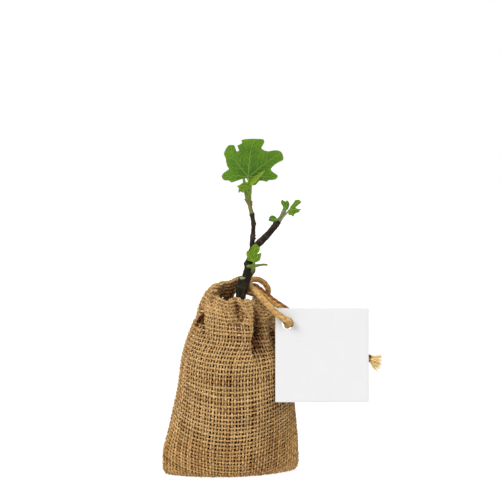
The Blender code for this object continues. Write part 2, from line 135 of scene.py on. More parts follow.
def lumps(points, size, waves=14):
    """Smooth bumps of about `size` mm: the mean of plane waves in random directions, between -1 and 1."""
    way = unit(rng.normal(size=(waves, 3))) * TURN / (size * rng.uniform(0.7, 1.5, (waves, 1)))
    start = rng.uniform(0, TURN, waves)
    return np.sin(points @ way.T + start).sum(axis=-1) / math.sqrt(waves) / 1.6


def ring_quads(rings, sides, loop=False):
    """Quads between neighbouring rings of `sides` points, and from the last to the first if they loop."""
    ring = np.arange(rings if loop else rings - 1)[:, None]
    first, after = ring * sides, (ring + 1) % rings * sides
    c = np.arange(sides)[None]
    d = (c + 1) % sides
    return np.stack([first + c, after + c, after + d, first + d], axis=-1).reshape(-1, 4)


def fan(start, sides, middle):
    """Triangles from the ring of points that begins at `start` to the point `middle`."""
    c = np.arange(sides)
    return np.column_stack([start + c, start + (c + 1) % sides, np.full(sides, middle)])


def tubes(paths, ups, radius, sides, flat=1.0, values=None):
    """Sections carried along many paths at once, closed at both ends.

    paths is (k, n, 3), ups is one direction or such a table, and radius is (k, n) or (k, n, sides). A section
    is centre + radius * (cos a * side + flat * sin a * up), where side and up are square to the path. uv is
    (mm along, turn). Entries of values are (k, n) or (k, n, sides).
    """
    k, n = paths.shape[:2]
    along = unit(np.gradient(paths, axis=1))
    side = unit(np.cross(along, np.broadcast_to(ups, paths.shape)))
    up = np.cross(side, along)
    a = angles_round(sides)
    radius = radius if radius.ndim == 3 else radius[:, :, None]
    ring = np.cos(a)[:, None] * side[:, :, None] + flat * np.sin(a)[:, None] * up[:, :, None]
    points = (paths[:, :, None] + radius[..., None] * ring).reshape(-1, 3)
    starts = np.arange(k)[:, None] * n * sides
    quads = (starts[..., None] + ring_quads(n, sides)).reshape(-1, 4)
    near = starts + np.arange(sides)
    far = (near + (n - 1) * sides)[:, ::-1]
    step = np.linalg.norm(np.diff(paths, axis=1), axis=-1)
    run = np.concatenate([np.zeros((k, 1)), np.cumsum(step, axis=1)], axis=1)
    uv = np.stack(np.broadcast_arrays(run[:, :, None], (a / TURN)[None, None]), axis=-1).reshape(-1, 2)
    given = {}
    for key, v in (values or {}).items():
        v = v if v.ndim == 3 else v[:, :, None]
        given[key] = np.broadcast_to(v, (k, n, sides)).reshape(-1)
    return points, [quads, near, far], given, uv


def smooth_path(points, steps):
    """Catmull-Rom curve through rows of numbers, `steps` samples to each stretch."""
    p = np.asarray(points, dtype=float)
    p = np.concatenate([[2 * p[0] - p[1]], p, [2 * p[-1] - p[-2]]])
    t = np.linspace(0, 1, steps, endpoint=False)[:, None]
    rows = []
    for a, b, c, d in zip(p[:-3], p[1:-2], p[2:-1], p[3:]):
        bend = (2 * a - 5 * b + 4 * c - d) * t**2 + (3 * b - 3 * c + d - a) * t**3
        rows.append(0.5 * (2 * b + (c - a) * t + bend))
    return np.concatenate(rows + [p[-2:-1]])


def even_path(points, spacing):
    """Smooth curve through (x, y, z, radius) rows, read again at equal steps of about `spacing` mm."""
    rows = smooth_path(points, 24)
    run = run_along(np.linalg.norm(np.diff(rows[:, :3], axis=0), axis=1))
    at = np.linspace(0, run[-1], max(int(run[-1] / spacing), 4) + 1)
    return at, np.stack([np.interp(at, run, rows[:, c]) for c in range(4)], axis=1)


def loose_hairs(root, way, length, thickness):
    """Loose hairs: root + way * length * t + bend * t squared, thinning to the tip and kept off the floor."""
    count = len(root)
    bend = random_ways(count) * length * rng.uniform(0.15, 0.6, (count, 1, 1))
    t = np.linspace(0, 1, 5)[None, :, None]
    paths = root + way * length * t + bend * t**2
    paths[..., 2] = np.maximum(paths[..., 2], 2 * thickness)
    ups = random_ways(count)
    radius = thickness * (1 - 0.65 * t[..., 0]) * rng.uniform(0.7, 1.3, (count, 1))
    tone = np.broadcast_to(rng.uniform(0.6, 1.0, (count, 1)), radius.shape)
    return tubes(paths, ups, radius, 3, 1.0, {"tone": tone})


# ---------------------------------------------------------------- making materials

class Finish:
    """A Principled material and short calls for the nodes that feed it."""

    def __init__(self, name, roughness, specular):
        self.material = bpy.data.materials.new(name)
        self.material.use_nodes = True
        self.tree = self.material.node_tree
        self.shader = self.tree.nodes["Principled BSDF"]
        self.give("Roughness", roughness)
        self.give("Specular IOR Level", specular)

    def give(self, name, value):
        """Set a socket of the shader itself."""
        self.shader.inputs[name].default_value = value

    def node(self, kind, inputs=None, **settings):
        made = self.tree.nodes.new(kind)
        for key, value in settings.items():
            setattr(made, key, value)
        for key, value in (inputs or {}).items():
            if isinstance(value, bpy.types.NodeSocket):
                self.tree.links.new(value, made.inputs[key])
            else:
                made.inputs[key].default_value = value
        return made

    def place(self, scale=(1, 1, 1), source="Object"):
        """Coordinates of the piece (Object, in metres) or of its own UV map, scaled on each axis."""
        start = self.node("ShaderNodeTexCoord").outputs[source]
        return self.node("ShaderNodeMapping", {"Vector": start, "Scale": scale}).outputs["Vector"]

    def noise(self, place, scale, detail, rough=0.55):
        given = {"Vector": place, "Scale": scale, "Detail": detail, "Roughness": rough}
        return self.node("ShaderNodeTexNoise", given).outputs["Fac"]

    def cell_edges(self, place, scale):
        """Distance to the nearest edge of a net of cells."""
        given = {"Vector": place, "Scale": scale}
        return self.node("ShaderNodeTexVoronoi", given, feature="DISTANCE_TO_EDGE").outputs[0]

    def value(self, name):
        """An attribute of the mesh."""
        return self.node("ShaderNodeAttribute", attribute_name=name).outputs["Fac"]

    def ramp(self, factor, *stops):
        """Colours or greys at places from 0 to 1: each stop is (place, (r, g, b)) or (place, grey)."""
        made = self.node("ShaderNodeValToRGB", {"Fac": factor})
        elements = made.color_ramp.elements
        while len(elements) < len(stops):
            elements.new(0.5)
        for element, (at, colour) in zip(elements, stops):
            element.position = at
            element.color = (*colour, 1.0) if isinstance(colour, tuple) else (colour, colour, colour, 1.0)
        return made.outputs["Color"]

    def mix(self, factor, one, two, blend="MIX"):
        made = self.node("ShaderNodeMix", data_type="RGBA", blend_type=blend)
        for socket, value in zip((made.inputs[0], made.inputs[6], made.inputs[7]), (factor, one, two)):
            if isinstance(value, bpy.types.NodeSocket):
                self.tree.links.new(value, socket)
            else:
                socket.default_value = (*value, 1.0) if isinstance(value, tuple) else value
        return made.outputs[2]

    def math(self, work, one, two):
        return self.node("ShaderNodeMath", {0: one, 1: two}, operation=work, use_clamp=True).outputs[0]

    def colour(self, socket):
        self.tree.links.new(socket, self.shader.inputs["Base Color"])

    def roughness(self, socket):
        self.tree.links.new(socket, self.shader.inputs["Roughness"])

    def bump(self, height, strength, depth):
        """Relief from a height from 0 to 1, `depth` mm deep."""
        bumped = self.node("ShaderNodeBump", {"Height": height, "Strength": strength, "Distance": depth * MM})
        self.tree.links.new(bumped.outputs["Normal"], self.shader.inputs["Normal"])


# colours of the yarns along their tone, which holds their own random tone and painted light and shade:
# painted shade, between, lit and a painted highlight on top: (tone, multiplier)
YARN_SHADES = ((0.0, (0.22, 0.09, 0.032)), (0.26, (0.67, 0.495, 0.35)), (0.5, (0.95, 0.93, 0.90)),
               (1.0, (1.25, 1.25, 1.24)))
STAIN_COLOUR = (0.19, 0.075, 0.022)
STRAW_SHEEN = (0.95, 0.80, 0.58, 1.0)


def jute(name, dark, middle, light, stain=0.0):
    """Jute yarn: long pale and dark fibres that follow the thread with a slight twist, and a fuzzy sheen."""
    made = Finish(name, 0.92, 0.12)
    thread = made.place((0.4, 7.0, 1.0), "UV")
    fibre = made.noise(thread, 1.0, 4.0, 0.65)
    colour = made.ramp(fibre, (0.33, dark), (0.5, middle), (0.68, light))
    # the tone attribute holds the yarns' own random tone and, on the sack's yarns and the cords, painted
    # light and painted shade
    colour = made.mix(0.93, colour, made.ramp(made.value("tone"), *YARN_SHADES), "MULTIPLY")
    body = made.place()
    patch = made.ramp(made.noise(body, 38.0, 3.0), (0.4, (0.86, 0.84, 0.80)), (0.62, (1.05, 1.04, 1.03)))
    colour = made.mix(0.8, colour, patch, "MULTIPLY")
    if stain:
        blots = made.ramp(made.noise(body, 60.0, 4.0), (0.47, 0.0), (0.66, 1.0))
        colour = made.mix(made.math("MULTIPLY", blots, stain), colour, STAIN_COLOUR)
    made.colour(colour)
    made.bump(fibre, 0.55, 0.25)
    made.give("Sheen Weight", 0.08)
    made.give("Sheen Roughness", 0.6)
    made.give("Sheen Tint", STRAW_SHEEN)
    return made.material


def compost_finish():
    """Dark peaty compost: damp crumbs, with paler fibre here and there."""
    made = Finish("compost", 0.95, 0.15)
    crumb = made.noise(made.place(), 700.0, 6.0, 0.7)
    colour = made.ramp(crumb, (0.3, (0.012, 0.005, 0.002)), (0.55, (0.045, 0.018, 0.006)),
                       (0.8, (0.11, 0.05, 0.02)))
    made.colour(colour)
    made.bump(crumb, 0.8, 0.6)
    return made.material


def bark_finish(name, dark, middle, light, tint):
    """Fig bark: nearly black and a little glossy, with grey scuffs along the wood and a faint green tint."""
    made = Finish(name, 0.7, 0.09)
    body = made.place()
    along = made.place((1.0, 1.0, 0.22))
    scuff = made.noise(along, 420.0, 5.0, 0.6)
    colour = made.ramp(scuff, (0.3, dark), (0.52, middle), (0.75, light))
    moss = made.ramp(made.noise(body, 150.0, 3.0), (0.5, 0.0), (0.7, 1.0))
    colour = made.mix(made.math("MULTIPLY", moss, 0.6), colour, tint)
    raised = made.value("raised")
    colour = made.mix(made.math("MULTIPLY", raised, 0.55), colour, light)
    made.colour(colour)
    made.roughness(made.ramp(scuff, (0.3, 0.58), (0.7, 0.8)))
    made.bump(scuff, 0.5, 0.25)
    return made.material


def pruned_finish():
    """Healed pruning cut: pale green wood with faint rings, a darker pith and a brown edge."""
    made = Finish("pruned_wood", 0.6, 0.3)
    out = made.value("out")
    grain = made.noise(made.place(), 900.0, 4.0)
    ring = made.ramp(out, (0.0, (0.07, 0.06, 0.03)), (0.2, (0.19, 0.19, 0.075)), (0.5, (0.25, 0.25, 0.10)),
                     (0.62, (0.13, 0.13, 0.045)), (0.74, (0.012, 0.009, 0.005)))
    made.colour(made.mix(0.6, ring, made.ramp(grain, (0.3, 0.6), (0.7, 1.15)), "MULTIPLY"))
    made.bump(grain, 0.4, 0.15)
    return made.material


def leaf_finish(name, deep, fresh, vein):
    """Fig leaf: deep green, fresher at the edge, pale veins and a fine net of cells between them."""
    made = Finish(name, 0.58, 0.16)
    body = made.place()
    blotch = made.noise(body, 130.0, 4.0, 0.6)
    edge_share = made.math("MULTIPLY", made.value("edge"), 0.75)
    fresh_share = made.math("ADD", edge_share, made.ramp(blotch, (0.4, 0.0), (0.7, 0.45)))
    colour = made.mix(fresh_share, deep, fresh)
    net = made.cell_edges(body, 620.0)
    colour = made.mix(0.55, colour, made.ramp(net, (0.0, 1.5), (0.09, 1.0), (0.5, 0.84)), "MULTIPLY")
    colour = made.mix(made.value("vein"), colour, vein)
    made.colour(colour)
    made.roughness(made.ramp(blotch, (0.3, 0.52), (0.7, 0.66)))
    made.bump(made.ramp(net, (0.0, 0.0), (0.2, 1.0)), 0.35, 0.18)
    made.give("Subsurface Weight", 0.12)
    made.give("Subsurface Radius", (0.5, 1.0, 0.2))
    made.give("Subsurface Scale", 0.0008)
    return made.material


def stem_finish(name, dark, light, warm):
    """Green shoot: streaks along the stem, and a warmer tone where the attribute `warm` is high."""
    made = Finish(name, 0.5, 0.22)
    streak = made.noise(made.place((0.35, 5.0, 1.0), "UV"), 1.0, 4.0)
    colour = made.ramp(streak, (0.3, dark), (0.7, light))
    speck = made.ramp(made.noise(made.place(), 900.0, 3.0), (0.35, 0.72), (0.65, 1.12))
    colour = made.mix(0.7, colour, speck, "MULTIPLY")
    made.colour(made.mix(made.value("warm"), colour, warm))
    made.bump(streak, 0.35, 0.15)
    return made.material


def paper_finish():
    """Smooth uncoated card: cool light grey with a very fine fibre."""
    made = Finish("card", 0.7, 0.25)
    fibre = made.noise(made.place((1.0, 1.0, 0.6)), 1800.0, 5.0, 0.6)
    cloud = made.noise(made.place(), 60.0, 2.0)
    colour = made.ramp(fibre, (0.3, (0.525, 0.525, 0.53)), (0.7, (0.555, 0.555, 0.56)))
    made.colour(made.mix(0.5, colour, made.ramp(cloud, (0.35, 0.97), (0.65, 1.0)), "MULTIPLY"))
    made.bump(fibre, 0.12, 0.05)
    return made.material


def floor_finish():
    """White floor that glows a little, as a light table does, so that shadows on it stay pale."""
    made = Finish("studio_floor", 0.8, 0.1)
    speck = made.noise(made.place(), 40.0, 2.0)
    made.colour(made.ramp(speck, (0.3, (0.26, 0.26, 0.26)), (0.7, (0.29, 0.29, 0.29))))
    made.give("Emission Color", (1.0, 1.0, 1.0, 1.0))
    made.give("Emission Strength", FLOOR_GLOW)
    return made.material


# ---------------------------------------------------------------- the sack's cloth map

WALL_HEIGHT = 137.5
# height, half-width to the left, to the right, half-depth, corner sharpness (1 is an ellipse, 2 a lens)
SACK_STATIONS = np.array((
    (0.0, 48.2, 48.9, 21.0, 1.58),
    (3.0, 50.6, 51.0, 24.0, 1.56),
    (9.0, 51.4, 51.6, 26.5, 1.54),
    (18.0, 51.2, 51.4, 28.8, 1.51),
    (35.0, 47.2, 50.2, 31.5, 1.40),
    (62.0, 41.0, 47.4, 33.5, 1.22),
    (89.0, 37.1, 43.4, 32.5, 1.10),
    (107.0, 31.9, 38.6, 30.0, 1.02),
    (119.0, 27.0, 35.7, 27.0, 1.0),
    (128.0, 23.6, 31.2, 23.5, 1.0),
    (134.0, 20.6, 25.6, 19.6, 1.0),
    (WALL_HEIGHT, 17.4, 21.0, 16.8, 1.0),
))
BELLY_TOP = 70.0
NECK_FOOT = 112.0
SACK_TURN = math.radians(11)
TURN_FADE_HEIGHT = 75.0
RIM_SLOPE = (-3.6, 4.8, -2.0)
# The slit that the drawstring leaves by: height, and the angles of its right and left edges.
SLIT = ((119.0, 66.0, 66.0), (121.0, 44.0, 85.0), (123.5, 38.0, 87.0), (127.0, 35.0, 87.0),
        (129.5, 33.0, 81.0), (133.5, 30.0, 74.0), (WALL_HEIGHT, 28.0, 70.0))
# Furrows of the gathered neck: (mm below the rim, angle) pairs, (mm below the rim, depth) pairs, and the
# half-widths of the furrow's two flanks (towards smaller angles, towards larger ones).
GATHERS = (
    (((0, 280), (8, 285), (20, 285)), ((0, 2.0), (5, 9.0), (12, 8.5), (22, 0)), (3.0, 2.2)),
    (((0, 320), (7, 311.5), (13, 306.5), (25, 301.5), (33, 298), (42, 297), (54, 301)),
     ((0, 4.0), (6, 8.5), (13, 13.0), (28, 15.5), (38, 10.5), (46, 4.0), (56, 0)), (1.1, 6.5)),
    (((0, 349), (36, 346)), ((0, 3.5), (8, 5.0), (22, 2), (36, 0)), (2.4, 2.4)),
    (((0, 12), (38, 20)), ((0, 2.0), (12, 3.0), (24, 5), (40, 0)), (2.1, 2.1)),
    (((0, 104), (9, 108), (34, 112)), ((0, 2.0), (8, 3.0), (22, 3.0), (36, 0)), (5.0, 4.0)),
    (((0, 128), (9, 130), (40, 130)), ((0, 3.0), (8, 4.0), (24, 6), (42, 0)), (2.6, 2.6)),
    (((0, 152), (9, 154), (36, 154)), ((0, 4.5), (8, 8.5), (22, 6), (38, 0)), (1.7, 1.7)),
    (((0, 172), (30, 175)), ((0, 4.5), (8, 6.5), (20, 5), (32, 0)), (2.0, 2.0)),
    (((0, 205), (12, 207), (20, 213), (29, 232), (41, 248)),
     ((0, 0.5), (10, 1.5), (18, 5.0), (24, 4.5), (31, 1.8), (44, 0)), (2.6, 2.0)),
    (((0, 226), (16, 228)), ((0, 2.2), (8, 1.4), (18, 0)), (4.0, 4.0)),
    (((0, 251), (24, 252)), ((0, 1.6), (8, 0.8), (26, 0)), (3.0, 3.0)),
)
# Single dents and swells: angle, height, depth (below 0 it stands out), half-widths of its two flanks, and
# half of its height.
DENTS = (
    (190, 119.5, 0.9, (8.0, 8.0), 2.2),
    (262, 119.0, -1.6, (7.0, 7.0), 11.0),
    (294, 124.0, -1.5, (3.0, 3.0), 12.0),
    (340, 107.0, 6.5, (9.0, 9.0), 15.0),
    (318, 90.0, -1.0, (12.0, 12.0), 6.0),
)
# The deep crease under the left shoulder, in the same terms, but its depth is straight to the back.
CREASE = ((208.5, 116.3, 5.0, (3.4, 1.9), 4.6),)
CREASE_SHADE = 3.6  # how many times its depth the crease counts when its yarns are darkened with painted shade
FURROW_SPREAD = 1.1  # a furrow is wider by this share at its lower end
# Rises and dips of the rim itself: angle, half-width in degrees, height.
RIM_WAVES = ((263, 24, -1.9), (74, 14, 5.0), (38, 12, -3.0), (2, 20, 2.0), (316, 12, 2.2))
FLANK_EASE = 0.24  # the cloth's columns stand this share wider apart round the two corners
MAP_COLUMNS = 1400
MAP_STEP = 0.5
SHARE_REACH = 10  # rings above and below that a yarn's place is averaged over, so that it runs smoothly
ROW_SKEW = 4.0  # the rows climb this far from the middle of the front to the right corner
CLOTH_MIDDLE = 1.05  # how far the middle of the cloth lies inside the sack's outer surface
SWELL = 0.6  # soft unevenness of the filled cloth
HEM_ROLL = 1.0
HEM_DEPTH = 27.0
HEM_STEP = (0.8, 5.6)  # how far the lower edge of the hem hangs clear of the wall, at the back and in front
HEM_SHIFT = 0.0055  # share of the way round that the hem slips sideways, about half a yarn


def station(column, height):
    """Smooth curve through one column of the sack's stations: a cubic Hermite between each two of them."""
    x, y = SACK_STATIONS[:, 0], SACK_STATIONS[:, column]
    slope = np.gradient(y, x)
    k = np.clip(np.searchsorted(x, height) - 1, 0, len(x) - 2)
    width = x[k + 1] - x[k]
    t = (height - x[k]) / width
    return (
        (2 * t**3 - 3 * t**2 + 1) * y[k]
        + (t**3 - 2 * t**2 + t) * width * slope[k]
        + (3 * t**2 - 2 * t**3) * y[k + 1]
        + (t**3 - t**2) * width * slope[k + 1]
    )


def gather_depth(height, angle, arc):
    """How far the cloth is drawn inwards at a height.

    Each furrow adds depth * exp(-(distance / half-width) squared) and widens downwards, and the dents add
    theirs.
    """
    total = np.zeros_like(angle)
    below = WALL_HEIGHT - height
    for route, depths, flanks in GATHERS:
        depth = np.interp(below, *zip(*depths))
        off = degrees_off(angle, np.interp(below, *zip(*route)))
        furrow = np.where(off < 0, *flanks) * (1 + FURROW_SPREAD * min(below / depths[-1][0], 1.0))
        total += depth * np.exp(-((np.radians(off) * arc / furrow) ** 2))
    return total + dents(DENTS, height, angle, arc)


def dents(rows, height, angle, arc):
    """Depth of single dents: depth * exp(-(distance from its middle in half-widths) cubed)."""
    total = np.zeros_like(angle)
    for middle, level, depth, flanks, tall in rows:
        off = np.radians(degrees_off(angle, middle)) * arc
        apart = (off / np.where(off < 0, *flanks)) ** 2 + ((height - level) / tall) ** 2
        total += depth * np.exp(-(apart ** 1.5))
    return total


def rim_lift(height, angle):
    """How far the cloth is lifted near the rim: a slope, and the rises and dips of the rim itself."""
    to_right, to_back, to_ends = RIM_SLOPE
    lift = to_right * np.cos(angle) + to_back * np.sin(angle) + to_ends * np.cos(2 * angle)
    lift = lift * smoothstep(BELLY_TOP, WALL_HEIGHT, height)
    for middle, wide, rise in RIM_WAVES:
        wave = np.exp(-((degrees_off(angle, middle) / wide) ** 2))
        lift += rise * wave * smoothstep(NECK_FOOT, WALL_HEIGHT, height)
    return lift


def sack_ring(height):
    """One ring of the sack's outer surface, from the left edge of the slit round to its right edge.

    The hull is an ellipse whose corners are drawn out to a lens near the base, where it is also turned a
    little. The gathers push it inwards, the crease pushes it to the back, and the rim is lifted. Returns rows
    of (x, y, z, how deep the point lies in a fold, with the crease counted CREASE_SHADE times, which sets the
    yarns' painted shade), and the share of the ring's eased length at each row.
    """
    left, right, depth, sharp = (station(c, height) for c in (1, 2, 3, 4))
    arc = 0.5 * (right + depth)
    levels, right_edge, left_edge = np.array(SLIT).T
    start, end = np.interp(height, levels, left_edge), np.interp(height, levels, right_edge) + 360
    angle = np.radians(np.linspace(start, end, MAP_COLUMNS * 2 + 1))
    c, s = np.cos(angle), np.sin(angle)
    turn = SACK_TURN * (1 - smoothstep(0.0, TURN_FADE_HEIGHT, height))
    wide = np.where(c > 0, right, left) * c / np.cos(turn)
    deep = depth * np.sign(s) * np.abs(s) ** sharp
    x, y = wide * np.cos(turn) - deep * np.sin(turn), wide * np.sin(turn) + deep * np.cos(turn)
    dx, dy = np.gradient(x), np.gradient(y)
    size = np.hypot(dx, dy)
    inwards = gather_depth(height, angle, arc)
    back = dents(CREASE, height, angle, arc)
    x, y = x - dy / size * inwards, y + dx / size * inwards + back
    ease = 1 - FLANK_EASE * np.abs(np.cos(angle)) ** 5 * smoothstep(NECK_FOOT, BELLY_TOP, height)
    length = run_along(np.hypot(np.diff(x), np.diff(y)) * ease[1:])
    # the fourth column is the fold depth that sets the yarns' painted shade
    rows = np.column_stack([x, y, height + rim_lift(height, angle), inwards + CREASE_SHADE * back])
    return rows, length / length[-1]


class Cloth:
    """The sack's cloth as a map from (share round, distance from the bottom seam) to a point and a normal.

    The underside runs from the seam line out to the base ring, and the wall runs from there to the rim. A row
    of weft keeps one distance from the seam, so near the base it dips under the middle of the front and rises
    to both corners; that dip fades out towards the rim.
    """

    def __init__(self):
        grid = self.level_grid(*self.underside_and_wall())
        # fold depth from which the yarns' painted shade in the folds is made
        self.fold_shade_depth = grid[..., 3:]
        grid = grid[..., :3]
        normal = unit(np.cross(np.gradient(grid, axis=1), np.gradient(grid, axis=0)))
        soft = unit(soften(soften(normal, 14, 1), 3, 0))
        calm = smoothstep(1.0, 14.0, grid[..., 2]) * smoothstep(0.0, 16.0, self.rim - self.levels)[:, None]
        swell = (lumps(grid, 34.0) * 0.7 + lumps(grid, 15.0) * 0.3) * SWELL * calm
        self.points = grid + soft * (swell - CLOTH_MIDDLE)[..., None]
        self.soft = soft
        self.fine = unit(soften(soften(normal, 3, 1), 1, 0))

    def underside_and_wall(self):
        """Rows of (x, y, z, fold depth) from the seam to the rim, and each point's distance from the seam."""
        heights = np.concatenate([np.linspace(0, 8, 12)[:-1], np.linspace(8, WALL_HEIGHT, 230)])
        rings, shares = zip(*(sack_ring(h) for h in heights))
        steps = np.linspace(0.0, 1.0, MAP_COLUMNS + 1)
        wall = np.array([[np.interp(steps, share, ring[:, k]) for k in range(4)]
                         for ring, share in zip(rings, soften(np.array(shares), SHARE_REACH, 0))])
        wall = wall.transpose(0, 2, 1)
        base = wall[0, :, :3]
        turned = np.array([math.cos(SACK_TURN), math.sin(SACK_TURN), 0.0])
        seam = (base @ turned)[:, None] * turned
        reach = np.linalg.norm(base - seam, axis=1)
        shares = np.linspace(0, 1, 12)[:-1, None]
        under = seam + (base - seam) * shares[:, :, None]
        under = np.concatenate([under, np.zeros((*under.shape[:2], 1))], axis=-1)
        rise = run_along(np.hypot(np.diff(heights), np.diff([station(3, h) for h in heights])))[:, None]
        part = heights[:, None] / WALL_HEIGHT
        fade = 1 - 0.5 * part - 0.5 * smoothstep(0, 1, part)
        skew = ROW_SKEW * base[:, 0] / 50.0 * smoothstep(0.0, 30.0, heights[:, None]) * (1 - part)
        self.rim = rise[-1, 0]
        self.fold = self.rim + HEM_ROLL * (math.pi / 2 - 1)
        return np.concatenate([under, wall]), np.concatenate([reach * shares, rise + reach * fade - skew])

    def level_grid(self, points, distance):
        """The same rows read again at equal distances from the seam."""
        self.levels = np.arange(0.0, self.rim + MAP_STEP, MAP_STEP)
        rows = np.arange(len(points))
        column = np.arange(MAP_COLUMNS + 1)
        at = np.array([np.interp(self.levels, distance[:, c], rows) for c in column]).T
        k = np.minimum(at.astype(int), len(points) - 2)
        t = (at - k)[..., None]
        return points[k, column] * (1 - t) + points[k + 1, column] * t

    def read(self, table, share, level):
        """Value of a table at fractional columns and levels, blended between its four neighbours."""
        x = np.clip(share, 0, 1) * MAP_COLUMNS
        y = np.clip(level, 0, self.levels[-1]) / MAP_STEP
        i = np.minimum(x.astype(int), MAP_COLUMNS - 1)
        j = np.minimum(y.astype(int), len(self.levels) - 2)
        u, v = (x - i)[..., None], (y - j)[..., None]
        low = table[j, i] * (1 - u) + table[j, i + 1] * u
        high = table[j + 1, i] * (1 - u) + table[j + 1, i + 1] * u
        return low * (1 - v) + high * v

    def place(self, share, distance, lift=0.0):
        """Point of the cloth's middle, raised by `lift` along its normal, and that normal.

        At the rim the cloth rolls inwards on a half circle, and runs down again inside the wall as the hem.
        """
        share, distance = np.broadcast_arrays(share, distance)
        past = distance - self.fold
        share = share + HEM_SHIFT * smoothstep(1.0, 9.0, past)
        roll = np.clip(past / HEM_ROLL, -math.pi / 2, math.pi / 2)
        beyond = np.maximum(np.abs(past) - HEM_ROLL * math.pi / 2, 0.0)
        level = self.rim - HEM_ROLL - beyond
        point, soft, fine = (self.read(t, share, level) for t in (self.points, self.soft, self.fine))
        step = HEM_STEP[0] + (HEM_STEP[1] - HEM_STEP[0]) * smoothstep(2.0, -12.0, point[..., 1])
        up = unit(self.read(self.points, share, level + 1) - self.read(self.points, share, level - 1))
        tucked = HEM_ROLL * (1 + np.sin(roll)) + step * smoothstep(0.5, 11.0, past)
        point = point - soft * tucked[..., None] + up * (HEM_ROLL * np.cos(roll))[..., None]
        facing = unit(-np.sin(roll)[..., None] * fine + np.cos(roll)[..., None] * up)
        return point + facing * np.asarray(lift)[..., None], facing


# ---------------------------------------------------------------- woven yarns

WARP_YARNS = 94
WEFT_PITCHES = ((0.0, 2.5), (35.0, 2.5), (75.0, 2.85), (400.0, 2.85))  # (distance from the seam, mm to a row)
WEFT_START = 1.2
WEFT_END = 400.0
WEFT_STEP = 0.25
FOOT_ROWS = 18
BELLY_ROWS = 40  # the first rows, up to the neck
WEAVE_LIFT = 0.56
WEFT_RADIUS = 0.76
WARP_RADIUS = (0.45, 0.8)  # thinnest and thickest, by how close the yarns lie
YARN_FLATNESS = 0.66
STEPS_PER_CROSSING = 4
YARN_SIDES = 6
SIDE_SAMPLE = 100  # the sample of a warp yarn, at the belly, that tells the front from the back
RIM_GROWTH = 0.2
HEM_GROWTH = 0.35
# painted shade on the yarns inside the hem and deep in the folds
HEM_PAINTED_SHADE = 0.42
FOLD_PAINTED_SHADE = 0.66
TOP_PAINTED_LIGHT_AND_SHADE = 0.24  # painted light where a yarn lies on top, and painted shade where it dips

cloth = Cloth()
cloth_end = cloth.fold + HEM_DEPTH
row_distances = np.arange(WEFT_START, WEFT_END, WEFT_STEP)
row_shares = WEFT_STEP / np.interp(row_distances, *zip(*WEFT_PITCHES))
row_numbers = np.cumsum(row_shares) - row_shares[0]


def yarn_tones(count, length):
    """How light each stretch of each yarn is, from 0 to 1, and how thick, around 1."""
    own = rng.normal(size=(count, 1)) * 0.12
    tone = 0.5 + own + wander(count, length, 26) * 0.13 + wander(count, length, 7) * 0.07
    own = rng.normal(size=(count, 1)) * 0.07
    thick = 1 + own + wander(count, length, 17) * 0.08 + wander(count, length, 5) * 0.04
    return np.clip(tone, 0, 1), np.clip(thick, 0.72, 1.4)


def painted_hem_and_fold_shade(share, distance):
    """Painted shade: how much darker the yarns are made inside the hem and deep in the folds."""
    deep = cloth.read(cloth.fold_shade_depth, *np.broadcast_arrays(share, distance))[..., 0]
    return HEM_PAINTED_SHADE * smoothstep(2.0, 9.0, distance - cloth.fold) + FOLD_PAINTED_SHADE * smoothstep(2.5, 12.0, deep)


def rim_growth(distance):
    """How much thicker the yarns are from the rim on, where the cloth is drawn together."""
    past = distance - cloth.fold
    return 1 + RIM_GROWTH * smoothstep(-6.0, 3.0, past) + HEM_GROWTH * smoothstep(3.0, 9.0, past)


def warp_yarns():
    """Yarns that run up the sack: from the bottom seam, under the edge, up the wall and down inside the hem.

    Yarn i keeps the share (i + 0.5) / count, and swings by WEAVE_LIFT over even rows and under odd ones.
    """
    step = WEFT_PITCHES[0][1] / STEPS_PER_CROSSING
    distance = np.arange(0.4, cloth_end, step)[None]
    index = np.arange(WARP_YARNS)[:, None]
    drift = wander(WARP_YARNS, distance.size, 34) * 0.07 + rng.normal(size=(WARP_YARNS, 1)) * 0.04
    share = np.clip((index + 0.5 + drift) / WARP_YARNS, 0.002, 0.998)
    swing = np.cos(math.pi * np.interp(distance, row_distances, row_numbers) + math.pi * index)
    paths, ups = cloth.place(share, distance, WEAVE_LIFT * swing)
    beside = cloth.place(share + 1 / WARP_YARNS, np.broadcast_to(distance, share.shape))[0]
    pitch = np.linalg.norm(beside - cloth.place(share, distance)[0], axis=-1)
    tone, thick = yarn_tones(*share.shape)
    radius = np.clip(0.25 + 0.19 * pitch, *WARP_RADIUS) * thick * rim_growth(distance)
    # tone: the yarn's own random tone, with painted light where it lies on top and painted shade where it
    # dips, in the hem and in the folds
    return paths, ups, radius, tone + TOP_PAINTED_LIGHT_AND_SHADE * swing - painted_hem_and_fold_shade(share, distance)


def weft_yarns():
    """Yarns that run round the sack, each a row at one distance from the seam.

    Row i swings by WEAVE_LIFT over the warp yarns that swing under it, and under the others.
    """
    index = np.arange(int(np.interp(cloth_end, row_distances, row_numbers)))[:, None]
    distance = np.interp(index, row_numbers, row_distances)
    share = np.linspace(0, 1, WARP_YARNS * STEPS_PER_CROSSING + 1)[None]
    shape = (len(distance), share.size)
    drift = wander(*shape, 40) * 0.09 + wander(*shape, 11) * 0.04 + rng.normal(size=(shape[0], 1)) * 0.06
    swing = -np.cos(math.pi * (share * WARP_YARNS - 0.5) + math.pi * index)
    near = smoothstep(6.0, 0.0, np.abs(distance + drift - cloth.fold))
    paths, ups = cloth.place(share, distance + drift * (1 - near), WEAVE_LIFT * swing)
    tone, thick = yarn_tones(*shape)
    # tone: the yarn's own random tone, with painted light where it lies on top and painted shade where it
    # dips, in the hem and in the folds
    tone = tone + TOP_PAINTED_LIGHT_AND_SHADE * swing - painted_hem_and_fold_shade(share, distance)
    return paths, ups, WEFT_RADIUS * thick * rim_growth(distance), tone


